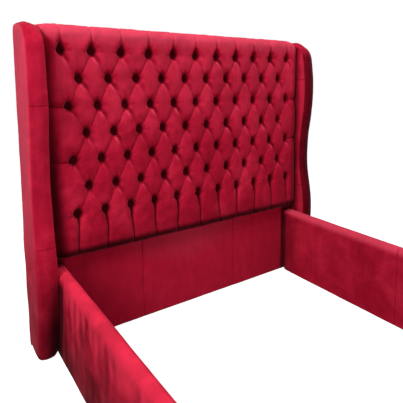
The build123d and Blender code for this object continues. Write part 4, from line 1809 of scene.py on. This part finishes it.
@dataclass
class PlainPanel:
    """Plain padded panel below the buttoned pad, in three widths joined by two seams."""

    low: Array
    high: Array
    seam_x: float
    crown: float = 3.5 * MM
    corner_round: float = 6.0 * MM
    spine_reach: float = 42.0 * MM
    swell_end: float = 0.69
    edge_shade: float = 0.80

    def build(self, velvet: Material) -> Piece:
        """Make the panel as one closed padded piece.

        Each width swells by a parabola between its seams, less towards top and foot.

        Args:
            velvet: Material of the cover.

        Returns:
            The piece.
        """
        low, high = self.low, self.high
        outline = framed_track((low[0], low[2]), (high[0], high[2]), (self.corner_round,) * 4)
        seam_places = (-self.seam_x, self.seam_x)
        places = outline.spaced(8.0 * MM, 0, seam_places)
        middle = (low[2] + high[2]) / 2.0
        slab = PaddedSlab(
            outline,
            places,
            spine_low=(low[0] + self.spine_reach, middle),
            spine_high=(high[0] - self.spine_reach, middle),
            near=high[1],
            far=low[1],
            near_round=np.full(len(places), 1.5 * MM),
            far_round=np.full(len(places), 10.0 * MM),
            band_steps=3,
            seams=[Seam(0, place) for place in seam_places],
            swell=0.4 * MM,
            seed=70,
        )
        local, nap = slab.skin()
        points = local[..., [0, 2, 1]]
        x, y, z = (points[..., axis] for axis in range(3))
        bay = np.clip((np.abs(x) - self.seam_x) / (self.swell_end - self.seam_x), -1.0, 1.0)
        swelling = np.where(bay < 0.0, 1.0 - (x / self.seam_x) ** 2, 1.0 - (2.0 * bay - 1.0) ** 2)
        up = np.clip((z - low[2]) / (high[2] - low[2]), 0.0, 1.0)
        front = ease(y, high[1] - 3.0 * MM, low[1] + 1.0 * MM)
        y -= self.crown * front * np.clip(swelling, 0.0, 1.0) ** 0.7 * (4.0 * up * (1.0 - up)) ** 0.5
        # Painted light: brighter towards the top and in the middle, darker towards the sides.
        nap *= 0.90 + 0.22 * ease(up, 0.25, 1.0)
        nap *= 0.96 + 0.12 * bell(x, 0.30) - 0.10 * ease(np.abs(x), 0.35, 0.65)
        # Painted shade along the edges beside the rails.
        nap *= 1.0 - self.edge_shade * ease(np.abs(x), high[0] - 0.072, high[0] - 0.050)
        return slab.padded("plain_panel_padding", "plain_panel_pad", points, nap, velvet)


@dataclass
class BackCloth:
    """Dust cloth stretched over the back of the frame, hollowed a little between the timbers."""

    low: Array
    high: Array
    timbers: tuple[Pair, ...]
    thickness: float = 0.8 * MM
    hem: float = 14.0 * MM
    step: float = 16.0 * MM

    def build(self, cloth: Material) -> Piece:
        """Make the cloth: a thin closed sheet with a doubled hem along its edges.

        Args:
            cloth: Material of the cloth.

        Returns:
            The piece.
        """
        low, high = self.low, self.high
        width, height = high[0] - low[0], high[2] - low[2]
        sizes = ((0, width), (2, height))
        across, up = (np.linspace(low[axis], high[axis], int(size / self.step)) for axis, size in sizes)
        x, z = np.meshgrid(across, up)
        to_edge = np.minimum.reduce([x - low[0], high[0] - x, z - low[2], high[2] - z])
        free = np.ones_like(z)
        for base, top in self.timbers:
            free *= 1.0 - ease(z, base - 0.04, base) * ease(z, top + 0.04, top)
        hollow = 0.6 * MM * free * ease(to_edge, 0.05, 0.12)
        hem = 0.5 * MM * ease(to_edge, self.hem, self.hem - 2.0 * MM)
        ripple = 0.15 * MM * drift(np.stack([x, 0.0 * x, z], -1), 0.14, 5) * ease(to_edge, 0.02, 0.10)
        outer = low[1] + self.thickness + 0.6 * MM - hollow + hem + ripple
        points = np.vstack([np.stack([x, y, z], -1).reshape(-1, 3) for y in (outer - self.thickness, outer)])
        faces = grid_quads(*x.shape)
        numbers = np.arange(x.size).reshape(x.shape)
        rim = np.concatenate([numbers[0], numbers[1:, -1], numbers[-1, -2::-1], numbers[-2:0:-1, 0]])
        following = np.roll(rim, -1)
        wall = np.stack([rim, following, following + x.size, rim + x.size], -1)
        piece = new_piece("dust_cloth", points, [faces, faces[:, ::-1] + x.size, wall])
        stand_in(piece, "back_cloth", cloth)
        return piece


def pose(right: Array, up: Array, back: Array, place: Array) -> Matrix:
    """Matrix from three unit directions and a place.

    Args:
        right: Direction of the object's X.
        up: Direction of its Y.
        back: Direction of its Z.
        place: Where its origin stands.

    Returns:
        The matrix.
    """
    turned = np.eye(4)
    turned[:3] = np.column_stack([right, up, back, place])
    return Matrix(turned.tolist())


def unit(vector: Array) -> Array:
    """Vector brought to a length of 1."""
    return np.array(vector) / np.linalg.norm(vector)


def level_seen(tree: bpy.types.NodeTree, unseen: float, seen: float) -> Socket:
    """One value for what the camera, mirrors and glass see, and another for the light.

    Args:
        tree: Node tree to lay it out in.
        unseen: Value for every other ray.
        seen: Value for rays from the camera, a mirror or glass.

    Returns:
        The value's socket.
    """
    path = tree.nodes.new("ShaderNodeLightPath")
    last = path.outputs["Is Camera Ray"]
    for ray in ("Is Glossy Ray", "Is Transmission Ray"):
        either = tree.nodes.new("ShaderNodeMath")
        either.operation = "MAXIMUM"
        tree.links.new(last, either.inputs[0])
        tree.links.new(path.outputs[ray], either.inputs[1])
        last = either.outputs[0]
    level = tree.nodes.new("ShaderNodeMapRange")
    level.inputs["To Min"].default_value = unseen
    level.inputs["To Max"].default_value = seen
    tree.links.new(last, level.inputs["Value"])
    return level.outputs["Result"]


@dataclass(frozen=True)
class Lamp:
    """A soft square lamp, its place, what it faces, its size and its power."""

    name: str
    place: Colour
    target: Colour
    size: float
    power: float

    def build(self) -> None:
        """Make the area lamp, with its face to its target."""
        light = bpy.data.lights.new(self.name, "AREA")
        light.shape = "SQUARE"
        light.size = self.size
        light.energy = self.power
        holder = bpy.data.objects.new(self.name, light)
        away = unit(np.array(self.place) - np.array(self.target))
        across = unit(np.cross((0.0, 0.0, 1.0), away))
        holder.matrix_world = pose(across, np.cross(away, across), away, np.array(self.place))
        bpy.context.scene.collection.objects.link(holder)


@dataclass
class Studio:
    """Pale floor, white surround, soft lamps and the camera at the photograph's place."""

    panel: float
    camera_place: Colour = (-1.197, -2.113, 1.289)
    right: Colour = (0.7847, -0.6199, 0.0033)
    ahead: Colour = (0.6151, 0.7779, -0.1284)
    focal_pixels: float = 435.7
    axis_pixel: Pair = (256.2, 134.6)
    floor_reach: float = 14.0
    floor_glow: float = 0.96
    surround_light: float = 0.05
    view_reach: float = 60.0
    lamps: tuple[Lamp, ...] = (
        Lamp("key_lamp", (-3.0, -0.4, 2.6), (-0.2, 0.7, 0.9), 1.3, 80.0),
        Lamp("top_lamp", (0.1, 0.0, 3.3), (0.1, 0.2, 0.2), 2.2, 55.0),
        Lamp("fill_lamp", (-0.4, -4.0, 1.1), (0.0, 0.9, 0.7), 2.2, 44.0),
    )

    def build(self) -> None:
        """Make the floor, the surround, the lamps and the camera."""
        self.make_floor()
        self.make_surround()
        for lamp in self.lamps:
            lamp.build()
        self.make_camera()

    def make_floor(self) -> None:
        """Pale floor as stage, which the camera sees near white, with its shadows kept."""
        line = np.linspace(-self.floor_reach, self.floor_reach, 9)
        x, y = np.meshgrid(line, line)
        points = np.stack([x, y, np.full_like(x, -0.5 * MM)], -1).reshape(-1, 3)
        floor = new_piece("studio_floor", points, [grid_quads(*x.shape)])
        if floor.data.polygons[0].normal.z < 0.0:
            floor.data.flip_normals()
        recipe = Recipe("pale_floor", Roughness=0.9, Specular_IOR_Level=0.1, Emission_Color=(*WHITE, 1.0))
        grain = recipe.ramp(recipe.noise(3.0), (0.3, (0.43, 0.42, 0.41)), (0.7, (0.46, 0.45, 0.44)))
        glow = level_seen(recipe.material.node_tree, 0.0, self.floor_glow)
        recipe.links.new(glow, recipe.shader.inputs["Emission Strength"])
        dress(floor, recipe.finish(grain, None))

    def make_surround(self) -> None:
        """World that the camera, mirrors and glass see as white and that lights softly."""
        world = bpy.data.worlds.new("surround")
        bpy.context.scene.world = world
        world.use_nodes = True
        back = next(node for node in world.node_tree.nodes if node.type == "BACKGROUND")
        back.inputs["Color"].default_value = (*WHITE, 1.0)
        strength = level_seen(world.node_tree, self.surround_light, 1.0)
        world.node_tree.links.new(strength, back.inputs["Strength"])

    def make_camera(self) -> None:
        """Camera at the photograph's place, with the shift that its framing needs.

        The focal length is the sensor's width times the focal pixels over the picture's
        width, and the shift is how far the picture's middle lies from the axis.
        """
        lens = bpy.data.cameras.new("photo_camera")
        lens.sensor_width = SENSOR_WIDTH
        lens.lens = SENSOR_WIDTH * self.focal_pixels / PHOTO_SIZE
        lens.shift_x = (PHOTO_SIZE / 2.0 - self.axis_pixel[0]) / PHOTO_SIZE
        lens.shift_y = (self.axis_pixel[1] - PHOTO_SIZE / 2.0) / PHOTO_SIZE
        lens.clip_end = self.view_reach
        holder = bpy.data.objects.new("photo_camera", lens)
        right, back = unit(self.right), -unit(self.ahead)
        place = np.array(self.camera_place) + (0.0, self.panel, 0.0)
        holder.matrix_world = pose(right, unit(np.cross(back, right)), back, place)
        bpy.context.scene.collection.objects.link(holder)
        bpy.context.scene.camera = holder


@dataclass
class InnerFrame:
    """Timber, boards, fixings and glides that keep their own shapes and get their finishes."""

    nodes: dict[str, Piece]
    slots: dict[str, str]

    def finishes(self) -> dict[str, Material]:
        """Make each kind of finish inside the bed.

        Returns:
            The material of each slot.
        """
        timbers = (
            Timber(Tone.SOFTWOOD.value, (0.60, 0.41, 0.22), (0.42, 0.25, 0.11)),
            Timber(Tone.FACE_BOARD.value, (0.45, 0.30, 0.16), (0.32, 0.19, 0.09)),
            Timber(Tone.CORE_BOARD.value, (0.50, 0.34, 0.18), (0.36, 0.22, 0.10)),
            Timber(Tone.TOGGLE.value, (0.56, 0.39, 0.20), (0.40, 0.25, 0.11)),
        )
        others = {"twine": WaxedTwine(), "plated_steel": PlatedSteel(), "glide_plastic": MouldedPlastic()}
        kinds = {timber.name: timber for timber in timbers} | others
        return {slot: kind.make() for slot, kind in kinds.items()}

    def build(self) -> int:
        """Dress every node whose slot has a finish here.

        Returns:
            How many nodes were dressed.
        """
        finishes = self.finishes()
        dressed = [name for name, slot in self.slots.items() if slot in finishes]
        for name in dressed:
            dress(self.nodes[name], finishes[self.slots[name]])
        return len(dressed)


def report(piece: Piece) -> None:
    """Log a finished piece's name and how many faces it has."""
    log.info("%s: %d faces", piece.name, len(piece.data.polygons))


def main() -> None:
    """Load the frame, build every piece, dress the rest and set up the studio."""
    logging.basicConfig(level=logging.INFO, format="%(name)s %(message)s")
    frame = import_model()
    slots = {entry["node"]: entry["material_slot"] for entry in frame["record"]["subparts"]}
    box = {name: tuple(np.array(corner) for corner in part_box(name)) for name in slots}
    panel_low, panel_high = box["plain_panel_pad"]

    velvet = Velvet().make()
    rail_velvets = {Side.LEFT: CRUSHED_VELVET.make(), Side.RIGHT: velvet}
    pad = ButtonedPad.fitted(box)
    report(pad.build(velvet))
    report(CoveredButtons(pad).build(SHADED_BUTTON_VELVET.make()))
    for side in Side:
        report(Wing.fitted(side, box).build(velvet))
        report(PaddedRail.fitted(side, box).build(rail_velvets[side]))
    report(PaddedRail("foot", 0, *box["foot_rail_cover"], True, seed=57).build(velvet))
    seam_x = PANEL_SEAM_COLUMNS * pad.half_column
    report(PlainPanel(panel_low, panel_high, seam_x).build(LIT_PANEL_VELVET.make()))
    rails = ("bottom_cross_rail", "middle_cross_rail", "top_cross_rail")
    timbers = tuple((float(box[name][0][2]), float(box[name][1][2])) for name in rails)
    report(BackCloth(*box["back_cloth"], timbers).build(DustCloth().make()))
    log.info("inner frame: %d nodes dressed", InnerFrame(frame["nodes"], slots).build())
    Studio(panel_low[1]).build()
    bpy.context.scene.view_settings.view_transform = "Standard"


if __name__ == "__main__":
    main()
